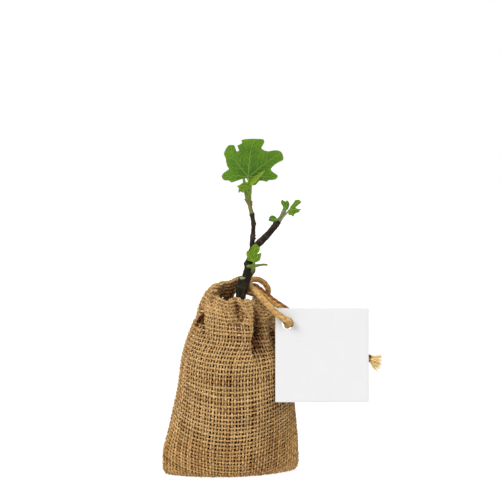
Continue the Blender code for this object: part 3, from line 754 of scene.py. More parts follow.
def weave(name, yarns, rows, finish, nodes=()):
    """One piece of the sack from some of the warp or weft yarns."""
    paths, ups, radius, tone = (values[rows] for values in yarns)
    part = tubes(paths, ups, radius, YARN_SIDES, YARN_FLATNESS, {"tone": tone})
    build(name, [part], finish, nodes)


def sack():
    """The woven sack, in pieces by side and by height."""
    body = jute("hessian_yarn", (0.158, 0.083, 0.028), (0.385, 0.239, 0.097), (0.635, 0.438, 0.208), 0.10)
    foot = jute("hessian_yarn_foot", (0.158, 0.073, 0.022), (0.37, 0.211, 0.072), (0.575, 0.37, 0.15), 0.6)
    warp = warp_yarns()
    front = warp[0][:, SIDE_SAMPLE, 1] < 0
    weave("warp_yarns_front", warp, front, body, ("hessian_sack",))
    weave("warp_yarns_back", warp, ~front, body)
    weft = weft_yarns()
    weave("weft_yarns_foot", weft, slice(0, FOOT_ROWS), foot)
    weave("weft_yarns_belly", weft, slice(FOOT_ROWS, BELLY_ROWS), body)
    weave("weft_yarns_neck", weft, slice(BELLY_ROWS, None), body)


SLIT_EDGES = (0.004, 0.996)  # shares of the way round where its rolled edges lie
SLIT_STITCHES = (0.006, 0.994)
SLIT_STITCH_REACH = 0.0055
SEAM_STITCH_REACH = 0.0085
STITCH_PITCH = 2.9
STITCH_RADIUS = 0.36
STITCH_RISE = 1.45
NECK_STRETCH = 1.08  # mm of cloth to a mm of height at the neck


def slit_and_seam():
    """Rolled edges of the slit that the drawstring leaves by, and whip stitches down the side seam below it.

    A stitch is an arch over the cloth: its height is STITCH_RISE * sqrt(1 - t squared) for t from -1 to 1.
    """
    thread = jute("seam_thread", (0.22, 0.12, 0.05), (0.44, 0.29, 0.13), (0.60, 0.43, 0.22))
    foot = cloth.rim - (WALL_HEIGHT - SLIT[0][0]) * NECK_STRETCH
    distance = np.linspace(foot - 3, cloth_end - 2, 60)[None]
    paths, ups = cloth.place(np.array(SLIT_EDGES)[:, None], distance, 0.1)
    tone = 0.55 + 0.1 * wander(*paths.shape[:2], 6)
    parts = [tubes(paths, ups, 1.25 + 0.08 * wander(*paths.shape[:2], 5), 10, 0.8, {"tone": tone})]
    at = np.arange(6.0, cloth_end - 3, STITCH_PITCH)
    t = np.linspace(-1, 1, 9)[None]
    stitches = [(at[at > foot], centre, SLIT_STITCH_REACH) for centre in SLIT_STITCHES]
    for rows, centre, reach in stitches + [(at[at <= foot], 0.0, SEAM_STITCH_REACH)]:
        share = centre + reach * t + np.zeros((len(rows), 1))
        level = rows[:, None] + 0.9 * t
        lift = STITCH_RISE * np.sqrt(np.clip(1 - t**2, 0, 1)) - 0.25 + np.zeros_like(share)
        points, ups = cloth.place(share % 1.0, level, lift)
        radius = np.full(share.shape, STITCH_RADIUS)
        parts.append(tubes(points, ups, radius, YARN_SIDES, 1.0, {"tone": np.full(share.shape, 0.8)}))
    build("seam_and_slit_thread", parts, thread)


STRAY_FIBRES = 2600
STRAY_LENGTH = (0.6, 4.0)
STRAY_RADIUS = 0.075


def stray_fibres():
    """Loose jute hairs that stand off the cloth, most of them nearly flat on it."""
    share = rng.uniform(0, 1, (STRAY_FIBRES, 1))
    distance = rng.uniform(2, cloth.fold + 3, (STRAY_FIBRES, 1))
    root, normal = cloth.place(share, distance, 0.45)
    loose = rng.normal(size=(STRAY_FIBRES, 1, 3))
    way = unit(loose - (loose * normal).sum(-1, keepdims=True) * normal)
    way = unit(way + normal * rng.uniform(0.1, 0.9, (STRAY_FIBRES, 1, 1)))
    length = np.clip(rng.gamma(2.6, 0.62, (STRAY_FIBRES, 1, 1)) + 0.6, *STRAY_LENGTH)
    pale = jute("stray_fibre", (0.30, 0.19, 0.08), (0.52, 0.37, 0.18), (0.66, 0.50, 0.28))
    build("stray_fibres", [loose_hairs(root, way, length, STRAY_RADIUS)], pale)


# ---------------------------------------------------------------- root ball

SOIL_TOP = 108.0
SOIL_GAP = 2.4
SOIL_BANK = 14.0  # the soil lies this much higher where it meets the cloth
SOIL_RISE = 0.8
SOIL_FOOT = 1.9
SOIL_MIDDLE = (3.0, 0.0)
SOIL_COLUMNS = 380
CRUMBS = 420
CRUMB_SPREAD = (28, 24)
CRUMB_SIDES = 6


def soil_wall():
    """Rings of the soil's side: the cloth's map drawn inwards and roughened."""
    share = np.linspace(0, 1, SOIL_COLUMNS, endpoint=False)[None]
    share, level = np.broadcast_arrays(share, np.linspace(19.0, cloth.rim * 0.83, 190)[:, None])
    wall = cloth.read(cloth.points, share, level) - cloth.read(cloth.soft, share, level) * SOIL_GAP
    wall = wall[wall[:, :, 2].max(axis=1) < SOIL_TOP + 19]
    rough = 0.35 * lumps(wall, 9.0) + 0.28 * np.abs(lumps(wall, 3.2)) + 0.16 * np.abs(lumps(wall, 1.3))
    wall = wall - unit(wall * (1, 1, 0)) * rough[..., None]
    wall[..., 2] = np.clip(wall[..., 2], SOIL_FOOT, SOIL_TOP + SOIL_BANK)
    return wall


def soil_mound(rim):
    """Rings of the soil's lumpy top, from its edge in to its middle."""
    inner = np.linspace(1, 0, 46)[1:-1, None, None]
    middle = np.array([*SOIL_MIDDLE, SOIL_TOP])
    mound = middle + (rim - middle) * inner
    inner = inner[..., 0]
    mound[..., 2] = SOIL_TOP + SOIL_RISE * (1 - inner**2) + (rim[:, 2] - SOIL_TOP) * inner**5
    rough = 0.7 * lumps(mound, 11.0) + 0.5 * np.abs(lumps(mound, 3.4)) + 0.3 * np.abs(lumps(mound, 1.5))
    mound[..., 2] += rough
    return mound


def root_ball():
    """Compost that fills the sack: a flat foot, a wall and a mound, closed in the middle at both ends."""
    wall = soil_wall()
    mound = soil_mound(wall[-1])
    foot = wall[0] * (1, 1, 0) + (0, 0, SOIL_FOOT)
    rings = np.concatenate([foot[None] * (0.5, 0.5, 1), foot[None], wall, mound])
    ends = [[0, 0, SOIL_FOOT], [*SOIL_MIDDLE, SOIL_TOP + SOIL_RISE]]
    points = np.concatenate([rings.reshape(-1, 3), ends])
    count = len(rings) * SOIL_COLUMNS
    faces = [ring_quads(len(rings), SOIL_COLUMNS)[:, [0, 3, 2, 1]], fan(0, SOIL_COLUMNS, count)[:, [1, 0, 2]],
             fan(count - SOIL_COLUMNS, SOIL_COLUMNS, count + 1)]
    build("compost", [(points, faces, {}, None)], compost_finish(), ("root_ball",))


def compost_crumbs():
    """Loose crumbs on the mound: small spheres, squashed and dented at random."""
    turn = rng.uniform(0, TURN, CRUMBS)
    out = np.sqrt(rng.uniform(0.02, 1, CRUMBS)) * 0.86
    size = rng.gamma(3.0, 0.28, CRUMBS) + 0.35
    across, deep = CRUMB_SPREAD
    centre = np.column_stack([SOIL_MIDDLE[0] + across * out * np.cos(turn), deep * out * np.sin(turn),
                              SOIL_TOP + 0.6 + 0.4 * size])
    lat = np.linspace(-1, 1, 5)[:, None] * math.pi / 2
    lon = angles_round(CRUMB_SIDES)
    ball = np.stack([np.cos(lat) * np.cos(lon), np.cos(lat) * np.sin(lon), np.sin(lat) + 0 * lon], -1)
    ball = np.concatenate([ball[1:-1].reshape(-1, 3), [[0, 0, -1], [0, 0, 1]]])
    shape = ball * (size[:, None] * rng.uniform(0.6, 1.2, (CRUMBS, 3)))[:, None]
    shape = shape * rng.uniform(0.75, 1.2, (CRUMBS, len(ball), 1)) + centre[:, None]
    start = np.arange(CRUMBS)[:, None, None] * len(ball)
    quads = ring_quads(3, CRUMB_SIDES)[:, [0, 3, 2, 1]]
    below, above = len(ball) - 2, len(ball) - 1
    low, high = fan(0, CRUMB_SIDES, below)[:, [1, 0, 2]], fan(2 * CRUMB_SIDES, CRUMB_SIDES, above)
    faces = [(quads + start).reshape(-1, 4), (np.concatenate([low, high]) + start).reshape(-1, 3)]
    build("compost_crumbs", [(shape.reshape(-1, 3), faces, {}, None)], compost_finish())


# ---------------------------------------------------------------- bark

# Points of the limbs: x, y, z, radius. Each one starts inside what carries it.
STUB = (
    (3.6, -2.0, 105.0, 5.4), (3.6, -2.0, 110.7, 4.7), (4.7, -2.0, 116.0, 4.1), (6.2, -2.0, 124.0, 3.85),
    (7.4, -2.1, 132.0, 3.7), (8.1, -2.2, 139.0, 3.95), (8.8, -2.6, 143.5, 4.0), (9.0, -3.2, 146.2, 3.55),
    (8.9, -4.1, 148.4, 3.05),
)
LEADER = (
    (8.4, -1.4, 135.0, 2.6), (9.4, -1.1, 140.0, 3.5), (10.6, -0.8, 144.0, 3.55), (11.7, -0.6, 147.4, 3.5),
    (13.0, -0.6, 151.4, 3.6), (13.6, -1.2, 156.0, 3.2), (14.1, -1.6, 159.8, 3.0), (14.9, -1.6, 164.2, 2.5),
    (16.4, -1.6, 169.0, 2.5), (18.0, -1.6, 171.8, 3.2), (18.8, -1.6, 173.4, 2.2),
)
UPRIGHT_BOUGH = (
    (16.9, -1.7, 169.6, 2.0), (16.2, -1.7, 172.6, 2.1), (16.0, -1.6, 174.8, 1.8), (16.6, -1.4, 178.0, 1.8),
    (17.1, -1.0, 185.0, 1.45), (17.2, -0.8, 189.0, 1.75), (16.5, -0.9, 193.4, 1.7), (15.9, -1.1, 196.9, 1.85),
)
SIDE_BOUGH = (
    (16.9, -1.7, 170.2, 2.3), (19.9, -1.5, 173.0, 2.6), (24.5, -0.4, 177.2, 2.6), (29.4, 0.8, 182.2, 2.35),
    (33.6, 1.9, 187.4, 2.3), (35.9, 2.5, 190.4, 2.3),
)
# Rings at the nodes: mm along the limb, height, width.
STUB_RINGS = ((24.0, 0.25, 0.9), (37.0, 0.3, 1.0))
LEADER_RINGS = ((9.0, 0.3, 1.2), (24.6, 0.28, 0.9), (33.0, 0.3, 1.0))
UPRIGHT_RINGS = ((19.0, 0.22, 0.7), (26.4, 0.35, 0.45), (10.5, 0.15, 0.7))
SIDE_RINGS = ((7.5, 0.12, 0.9), (22.6, 0.3, 0.45), (25.2, 0.35, 0.4), (13.0, 0.12, 0.6))
# Buds and their scars: mm along the limb, turn in degrees from the right over the front, height, size.
STUB_BUDS = ((30.0, 60, 0.35, 1.1), (40.5, 200, 0.5, 0.9))
LEADER_BUDS = ((24.3, 172, 0.75, 1.3), (19.5, 12, 1.9, 2.2), (33.4, 100, 0.4, 0.9), (29.0, 20, 0.35, 0.8))
UPRIGHT_BUDS = ((8.6, 5, 0.75, 0.55), (10.8, 350, 0.6, 0.5), (10.0, 180, 0.35, 1.2), (19.6, 10, 0.35, 0.8))
SIDE_BUDS = ((23.6, 110, 0.4, 0.7), (24.0, 250, 0.4, 0.7), (14.0, 60, 0.25, 0.7))
BARK_SIDES = 56
BARK_STEP = 0.3
PRUNED_RINGS = 19


def bark(points, rings, buds, lenticels, wrinkle):
    """A limb with bark: lengthwise wrinkles, rings at the nodes, bud scars and small raised lenticels.

    Each ring, bud and lenticel adds a Gaussian bump to the radius.
    """
    run, rows = even_path(points, BARK_STEP)
    turn = angles_round(BARK_SIDES)
    mean = rows[:, 3].mean()
    skin = np.stack([mean * np.cos(turn) + 0 * run[:, None], mean * np.sin(turn) + 0 * run[:, None],
                     0.24 * run[:, None] + 0 * turn], axis=-1)
    relief = wrinkle * lumps(skin, 1.5) + 0.6 * wrinkle * lumps(skin, 0.7)
    relief = relief + 0.12 * lumps(skin * (1, 1, 4), 4.0)
    raised = np.zeros_like(relief)
    for at, height, width in rings:
        ring = np.exp(-(((run - at + 0.25 * np.sin(2 * turn[:, None] + at)) / width) ** 2)).T
        relief = relief + height * ring
        raised = np.maximum(raised, ring)
    spots = [(rng.uniform(0, run[-1]), rng.uniform(0, 360), rng.uniform(0.08, 0.2), rng.uniform(0.25, 0.5))
             for _ in range(lenticels)]
    for at, degrees, height, size in list(buds) + spots:
        off = degrees_off(turn, degrees)
        bump = np.exp(-(((run[:, None] - at) / size) ** 2) - (np.radians(off) * mean / (size * 1.1)) ** 2)
        relief = relief + height * bump
        raised = np.maximum(raised, bump * 0.8)
    radius = (rows[:, 3:] + relief)[None]
    return tubes(rows[None, :, :3], TO_FRONT, radius, BARK_SIDES, 1.0, {"raised": raised[None]})


def pruned_face():
    """The cut on top of the old stub: a disc of rings, square to the stub's end.

    Its height has a Gaussian lip near the edge and drops at the edge itself.
    """
    rows = even_path(STUB, BARK_STEP)[1]
    end, radius = rows[-1, :3], rows[-1, 3] + 0.12
    axis = unit(end - rows[-4, :3])
    right = unit(np.cross(TO_BACK, axis))
    front = np.cross(axis, right)
    out = np.linspace(0, 1, PRUNED_RINGS + 1)[1:, None]
    turn = angles_round(BARK_SIDES)
    size = radius * (1 + 0.03 * np.sin(3 * turn + 1.0) + 0.02 * np.sin(5 * turn))
    high = 0.1 + 0.28 * np.exp(-(((out - 0.86) / 0.1) ** 2)) - 0.75 * smoothstep(0.93, 1.0, out) + 0 * turn
    flat = np.stack([out * size * np.cos(turn), out * size * np.sin(turn)], axis=-1)
    points = end + flat[..., :1] * right + flat[..., 1:] * front + high[..., None] * axis
    points = np.concatenate([points.reshape(-1, 3), [end + 0.05 * axis]])
    faces = [ring_quads(PRUNED_RINGS, BARK_SIDES), fan(0, BARK_SIDES, PRUNED_RINGS * BARK_SIDES)]
    value = np.append(np.broadcast_to(out, high.shape).reshape(-1), 0.0)
    build("pruned_face", [(points, faces, {"out": value}, None)], pruned_finish())


def woody_limbs():
    """The stub and its leader in old bark, the two boughs in young bark, and the cut on the stub."""
    old = bark_finish("old_bark", (0.004, 0.003, 0.002), (0.010, 0.007, 0.005), (0.036, 0.026, 0.018),
                      (0.020, 0.021, 0.005))
    young = bark_finish("young_bark", (0.008, 0.004, 0.003), (0.017, 0.010, 0.007), (0.052, 0.036, 0.026),
                        (0.033, 0.030, 0.009))
    limbs = (
        ("trunk", (STUB, STUB_RINGS, STUB_BUDS, 90, 0.16), old, ("trunk",)),
        ("leader", (LEADER, LEADER_RINGS, LEADER_BUDS, 60, 0.16), old, ()),
        ("upright_bough", (UPRIGHT_BOUGH, UPRIGHT_RINGS, UPRIGHT_BUDS, 34, 0.11), young, ("upright_bough",)),
        ("side_bough", (SIDE_BOUGH, SIDE_RINGS, SIDE_BUDS, 44, 0.12), young, ("side_bough",)),
    )
    for name, form, finish, nodes in limbs:
        build(name + "_bark", [bark(*form)], finish, nodes)
    pruned_face()


# ---------------------------------------------------------------- leaves and green shoots

FIG_SPREAD = (1.01, 1.03)  # the large leaf is drawn out by this much across and up
LEAF_THICKNESS = 0.4
CORE_SHARE = 0.62  # share of a blade's rings that are a rounded star about its pole
# Leaf outlines in their own plane, across and up from where the stalk joins.
FIG_LEAF = (
    (-1.1, -1.2), (-3.7, -0.9), (-5.9, -1.5), (-8.9, -2.95), (-12.2, -3.9), (-14.1, -2.6), (-17.1, -2.3),
    (-18.6, -1.2), (-19.3, 0.6), (-18.4, 2.6), (-15.9, 4.6), (-14.0, 6.1), (-15.2, 8.2), (-15.9, 11.2),
    (-16.2, 13.8), (-17.4, 16.9), (-17.0, 18.9), (-15.6, 21.6), (-13.9, 23.5), (-11.9, 23.8), (-9.8, 23.5),
    (-9.4, 22.1), (-9.5, 20.4), (-8.7, 19.2), (-7.0, 19.0), (-5.5, 20.5), (-5.8, 22.1), (-7.4, 23.1),
    (-5.2, 24.4), (-3.3, 25.6), (-3.0, 26.4), (-4.1, 27.5), (-0.8, 28.3), (3.7, 28.5), (9.3, 28.4),
    (11.7, 28.2), (12.6, 27.5), (12.7, 25.6), (12.0, 24.9), (10.7, 24.0), (10.2, 22.4), (10.9, 20.8),
    (13.0, 19.5), (16.0, 19.0), (18.5, 19.6), (22.1, 19.9), (25.1, 18.9), (26.5, 16.5), (26.9, 14.0),
    (26.2, 12.6), (23.1, 11.0), (20.0, 9.0), (17.3, 5.9),
    (18.4, 4.0), (21.0, 2.2), (22.3, 0.8), (21.1, -1.2), (18.4, -2.1), (15.5, -2.35), (13.9, -3.5),
    (11.6, -2.9), (8.8, -2.9), (7.1, -4.0), (5.6, -5.7), (3.5, -5.7), (2.3, -3.5), (1.2, -1.4),
)
FIG_VEINS = (
    ((0.0, 0.0), (0.7, 8.0), (1.6, 15.2), (2.8, 21.2), (4.6, 27.6)),
    ((0.0, 0.0), (-1.8, 2.5), (-6.4, 8.1), (-10.0, 13.1), (-11.5, 18.0), (-12.3, 22.6)),
    ((0.0, 0.0), (2.8, 2.1), (10.7, 8.5), (17.9, 13.5), (23.1, 17.0), (26.5, 17.6)),
    ((0.0, 0.0), (-5.0, 0.7), (-11.0, 0.9), (-17.8, 0.3)),
    ((0.0, 0.0), (6.6, 0.6), (13.5, 0.4), (21.2, -0.2)),
)
YOUNG_LEAF = (
    (1.6, 2.2), (-1.0, 3.2), (-3.0, 2.6), (-5.0, 1.2), (-7.3, 0.0), (-6.0, -1.6), (-6.4, -3.0),
    (-6.1, -4.9), (-4.9, -4.0), (-3.0, -4.8), (-1.2, -4.4), (1.4, -2.2),
)
YOUNG_VEINS = (((1.0, 0.0), (-2.5, 0.4), (-6.9, -0.1)), ((1.0, -0.6), (-2.6, -2.0), (-5.8, -4.4)))
BRACT = (
    (0.2, -5.4), (1.0, -2.6), (2.6, -0.2), (5.0, 1.3), (8.0, 2.2), (9.4, 0.8), (9.0, -1.4), (7.6, -3.4),
    (5.8, -5.3), (3.6, -5.7), (2.0, -6.6),
)
BRACT_VEINS = (((1.0, -5.0), (4.0, -2.0), (8.4, 1.5)),)
SPEAR_LEAF = (
    (0.3, 0.2), (0.0, 2.0), (3.0, 5.7), (6.0, 8.4), (8.8, 10.2), (10.9, 11.2), (10.5, 9.5), (9.2, 7.7),
    (7.5, 5.7), (4.5, 2.4), (1.6, -0.4),
)
SPEAR_VEINS = (((0.7, 0.6), (3.9, 4.1), (7.1, 7.3), (10.6, 10.8)),)
ROUND_LEAF = (
    (0.6, -0.7), (-1.6, -1.5), (-3.6, -1.4), (-5.6, -1.0), (-6.2, 0.2), (-5.6, 0.9), (-6.1, 1.9), (-5.0, 2.5),
    (-4.2, 3.2), (-2.2, 3.2), (-0.7, 2.1), (0.5, 0.6),
)
ROUND_VEINS = (((0.3, 0.0), (-3.0, 0.9), (-5.8, 1.2)),)
SIDE_LEAF = (
    (-0.6, -0.6), (0.2, 1.4), (2.6, 3.9), (3.8, 5.8), (6.3, 6.3), (7.6, 5.6), (8.4, 4.1), (7.0, 2.9),
    (5.2, 1.6), (4.0, 0.2), (6.2, -0.6), (8.7, -0.8), (7.2, -1.8), (6.6, -3.2), (4.4, -3.8), (2.8, -4.8),
    (1.9, -6.4), (0.6, -5.4), (-1.4, -4.9), (-1.8, -2.6),
)
SIDE_VEINS = (
    ((-0.4, -1.2), (2.6, 1.4), (5.2, 4.2), (7.4, 5.0)),
    ((-0.4, -1.2), (3.4, -1.0), (8.2, -0.9)),
    ((-0.4, -1.4), (0.8, -3.2), (1.6, -5.8)),
)
CREST = (
    (-1.4, -2.2), (-1.7, 0.2), (-3.1, 2.2), (-3.4, 3.7), (-2.3, 5.3), (-1.2, 4.6), (0.2, 4.0), (1.1, 4.8),
    (2.0, 4.4), (2.9, 3.1), (3.1, 1.2), (2.6, -0.8), (1.2, -2.4),
)
CREST_VEINS = (((0.0, -2.2), (-0.8, 1.4), (-2.4, 4.4)), ((0.0, -2.2), (0.9, 1.2), (1.4, 4.2)))
SPROUT_LEAF = (
    (-0.8, 0.0), (-2.6, 0.6), (-4.4, 1.1), (-4.6, 3.3), (-5.4, 5.6), (-4.6, 8.3), (-2.7, 8.1), (-2.3, 10.2),
    (-0.6, 12.1), (1.5, 13.4), (3.3, 12.4), (4.8, 10.0), (4.2, 7.7), (2.9, 5.9), (5.9, 6.5), (5.5, 3.6),
    (4.4, 0.8), (1.6, -0.4), (0.4, -0.6),
)
SPROUT_VEINS = (
    ((0.0, 0.0), (0.2, 4.6), (0.6, 8.6), (1.4, 12.6)),
    ((0.0, 0.4), (-2.2, 3.6), (-4.6, 6.6)),
    ((0.0, 0.4), (2.2, 3.0), (5.4, 5.8)),
)


# Routes of the green shoots: x, y, z, radius.
TOP_STEM = (
    (15.9, -1.1, 196.2, 1.75), (15.2, -1.15, 199.0, 1.55), (14.6, -1.2, 201.6, 1.6), (14.2, -1.5, 205.0, 1.6),
    (14.1, -1.9, 210.0, 1.55), (14.5, -2.0, 214.8, 1.45), (14.5, -1.9, 219.0, 1.3), (13.6, -1.6, 222.2, 1.1),
    (12.8, -1.4, 224.4, 0.8),
)
TOP_LEFT_STALK = (
    (14.0, -1.6, 202.6, 1.0), (12.6, -1.7, 206.0, 1.35), (11.8, -1.9, 210.0, 1.3), (11.2, -2.2, 214.4, 1.15),
    (10.5, -2.0, 218.6, 0.95), (10.1, -1.8, 221.4, 0.95), (9.7, -1.5, 224.4, 0.8),
)
YOUNG_STALK = ((13.6, -2.6, 208.0, 0.8), (13.0, -2.9, 212.4, 1.0), (12.2, -3.1, 216.6, 0.75))
SIDE_STEM = (
    (35.4, 2.4, 189.6, 1.9), (36.6, 2.6, 191.4, 1.9), (38.2, 2.6, 193.8, 1.65), (40.0, 2.4, 198.0, 1.7),
    (41.0, 2.3, 201.0, 1.2), (41.2, 2.2, 203.0, 0.6),
)
SIDE_STALK = (
    (36.6, 1.4, 190.8, 0.8), (38.4, 0.3, 192.6, 0.7), (40.6, -0.7, 195.2, 0.62), (44.6, -1.5, 199.8, 0.6),
)
ROUND_STALK = ((37.4, 2.3, 192.2, 0.9), (35.6, 0.9, 191.8, 0.65), (33.8, -0.2, 192.1, 0.5))
SPROUT_STALK = (
    (15.4, -5.6, 155.8, 1.0), (16.8, -6.6, 157.6, 1.3), (17.6, -7.0, 159.6, 0.95), (17.5, -7.2, 162.0, 0.7),
    (17.2, -7.2, 165.4, 0.5),
)
LOW_STEM = (
    (12.5, -5.6, 157.2, 0.9), (13.6, -6.4, 157.4, 1.3), (16.0, -6.6, 157.5, 1.3), (19.0, -6.4, 157.8, 1.15),
    (21.6, -6.4, 158.3, 0.9), (24.6, -6.6, 158.7, 0.8), (26.4, -6.7, 158.6, 0.75), (27.7, -6.7, 158.3, 0.6),
)
LOW_BUD = (
    (17.2, -6.2, 157.2, 1.2), (17.2, -6.7, 155.2, 1.7), (16.8, -6.8, 153.3, 1.4), (16.2, -6.4, 151.6, 0.4),
)
SHEATH_FOOT = (14.8, -1.2, 202.6)
SHEATH_WAY = (-0.26, -0.02, 1.0)
SHEATH_SIDES = 72


def closed_path(points, count):
    """Closed Catmull-Rom curve through an outline's points, read again at `count` equal steps."""
    p = np.asarray(points, dtype=float)
    rows = smooth_path(np.concatenate([p[-3:], p, p[:3]]), 24)[24 * 3:24 * (len(p) + 3) + 1]
    run = run_along(np.linalg.norm(np.diff(rows, axis=0), axis=1))
    at = np.linspace(0, run[-1], count, endpoint=False)
    return np.stack([np.interp(at, run, rows[:, c]) for c in range(2)], axis=1)


def side_veins(main, spacing, share, angle=48.0):
    """Side veins of one main vein: from both sides by turns, leaning to the tip, shorter towards it."""
    rows = smooth_path(main, 16)
    run = run_along(np.linalg.norm(np.diff(rows, axis=0), axis=1))
    made = []
    for number, at in enumerate(np.arange(spacing * 1.4, run[-1] * 0.92, spacing * 0.5)):
        k = min(np.searchsorted(run, at), len(rows) - 2)
        ahead = unit(rows[k + 1] - rows[k - 1])
        lean = math.radians(angle) * (1 if number % 2 else -1)
        way = np.array([ahead[0] * math.cos(lean) - ahead[1] * math.sin(lean),
                        ahead[0] * math.sin(lean) + ahead[1] * math.cos(lean)])
        reach = run[-1] * share * (1 - 0.65 * at / run[-1])
        t = np.array([0.0, 0.35, 0.7, 1.0])[:, None]
        made.append(rows[k] + reach * (t * way + 0.25 * t**2 * ahead))
    return made


def vein_field(plane, veins, width):
    """Nearness to the veins, from 0 to 1: the largest exp(-(distance / width) squared) of their stretches."""
    field = np.zeros(plane.shape[:-1])
    for vein in veins:
        rows = smooth_path(vein, 5)
        slim = width * np.linspace(1.0, 0.45, len(rows))
        for start, end, wide in zip(rows[:-1], rows[1:], slim):
            step = end - start
            t = np.clip(((plane - start) @ step) / max(step @ step, 1e-9), 0, 1)
            gap = np.linalg.norm(plane - start - t[..., None] * step, axis=-1)
            field = np.maximum(field, np.exp(-((gap / wide) ** 2)))
    return field


def blade_veins(plane, main, width):
    """How near each point is to a vein line, and how near to the wider furrow along it."""
    small = [s for vein in main for s in side_veins(vein, width * 14, 0.42)]
    line = np.maximum(vein_field(plane, main, width), 0.55 * vein_field(plane, small, width * 0.6))
    furrow = np.maximum(vein_field(plane, main, width * 3.0), 0.7 * vein_field(plane, small, width * 1.8))
    return line, furrow


def blade_grid(outline, pole, around, across):
    """Rings of points from a pole out to an outline, and each point's share of the way out and its direction.

    Inner rings are a rounded star about the pole, and the outer ones blend into the outline.
    """
    rim = closed_path(outline, around) - pole
    way = np.unwrap(np.arctan2(rim[:, 1], rim[:, 0]))
    if way[-1] < way[0]:
        rim, way = rim[::-1], way[::-1]
    way = np.maximum.accumulate(way)
    out = np.linalg.norm(rim, axis=1)
    window = around // 26
    least = np.min([np.roll(out, s) for s in range(-window, window + 1)], axis=0)
    core = np.mean([np.roll(least, s) for s in range(-window, window + 1)], axis=0) * 0.74
    core = np.minimum(core, out * 0.9)[:, None] * np.column_stack([np.cos(way), np.sin(way)])
    part = np.linspace(0, 1, across + 1)[1:, None, None]
    outer = core + (rim - core) * (part - CORE_SHARE) / (1 - CORE_SHARE)
    grid = np.where(part < CORE_SHARE, core * part / CORE_SHARE, outer)
    grid = np.concatenate([grid.reshape(-1, 2), [[0.0, 0.0]]]) + pole
    share = np.append(np.broadcast_to(part[..., 0], (across, around)).reshape(-1), 0.0)
    angle = np.append(np.broadcast_to(way, (across, around)).reshape(-1), 0.0)
    return grid, share, angle


def leaf(name, outline, veins, finish, root, lean, turn, cup, pole=(0.0, 0.0), around=300, across=26,
         bulge=0.22, ripple=0.35, vein_width=0.28, spread=1.0):
    """A leaf blade on the rings of its grid, front and back, joined at the edge.

    The height off its plane is cup * (distance from the root / 20) squared, plus a ripple that grows to the
    edge; the blade swells by `bulge` between its veins. It leans and turns by degrees about its root.
    """
    grid, share, angle = blade_grid(np.asarray(outline) * spread, pole, around, across)
    line, furrow = blade_veins(grid, [np.asarray(vein) * spread for vein in veins], vein_width)
    depth = cup * (np.linalg.norm(grid, axis=1) / 20.0) ** 2
    depth += ripple * share**3 * (np.sin(5 * angle + 0.6) + 0.6 * np.sin(11 * angle + 2.0))
    flat = np.column_stack([grid[:, 0], np.zeros(len(grid)), grid[:, 1]])
    depth += 0.10 * lumps(flat, 2.4) * share
    swell = bulge * (1 - furrow)
    edge = 1 - 0.7 * smoothstep(0.93, 1.0, share)
    front = flat + np.outer(depth - LEAF_THICKNESS / 2 * edge - swell + 0.12 * line, TO_BACK)
    back = flat + np.outer(depth + LEAF_THICKNESS / 2 * edge - 0.6 * swell + 0.25 * line, TO_BACK)
    count = len(grid)
    quads, middle = ring_quads(across, around), fan(0, around, count - 1)
    border = (across - 1) * around + np.arange(around)
    after = np.roll(border, -1)
    strip = np.column_stack([border, border + count, after + count, after])
    faces = [quads, middle, quads[:, ::-1] + count, middle[:, ::-1] + count, strip]
    x, z = math.radians(-lean), math.radians(turn)
    about_x = np.array([[1, 0, 0], [0, math.cos(x), -math.sin(x)], [0, math.sin(x), math.cos(x)]])
    about_z = np.array([[math.cos(z), -math.sin(z), 0], [math.sin(z), math.cos(z), 0], [0, 0, 1]])
    points = np.concatenate([front, back]) @ (about_z @ about_x).T + root
    values = {"edge": np.tile(share**3, 2), "vein": np.tile(line, 2)}
    build(name, [(points, faces, values, None)], finish)


def shoot(points, warm, ribs=5):
    """A green stem: a round section with shallow ribs along it; `warm` is (at its start, at its end)."""
    sides = 24
    run, rows = even_path(points, 0.35)
    turn = angles_round(sides)
    skin = np.stack(np.broadcast_arrays(run[:, None], 3 * np.cos(turn), 3 * np.sin(turn)), -1)
    radius = rows[:, 3:] * (1 + 0.045 * np.cos(ribs * turn + 0.05 * run[:, None])) + 0.03 * lumps(skin, 2.0)
    value = np.linspace(*warm, len(run))[None]
    return tubes(rows[None, :, :3], TO_FRONT, radius[None], sides, 1.0, {"warm": value})


def sheath():
    """The dried stipule round the top shoot: a flared cup with a torn rim, higher and wider on the left."""
    turn = angles_round(SHEATH_SIDES)
    left = 0.5 - 0.5 * np.cos(turn)
    high = 3.2 + 1.3 * left**2 + 0.35 * np.sin(7 * turn + 1) + 0.25 * np.sin(13 * turn)
    t = np.linspace(0, 1, 16)[:, None]
    outside = 1.85 + (0.75 + 0.75 * left**4) * t**1.6 + 0.05 * np.sin(9 * turn)
    inside = outside[::-1] - 0.22
    radius = np.concatenate([outside, inside])
    level = np.concatenate([t * high, t[::-1] * high])
    centre = np.array(SHEATH_FOOT) + level[..., None] * np.array(SHEATH_WAY)
    points = centre + radius[..., None] * np.stack([np.cos(turn), -np.sin(turn), 0 * turn], -1)
    uv = np.stack(np.broadcast_arrays(level, turn[None] / TURN), -1).reshape(-1, 2)
    faces = [ring_quads(len(radius), SHEATH_SIDES, loop=True)]
    return points.reshape(-1, 3), faces, {"warm": np.full(radius.size, 1.0)}, uv


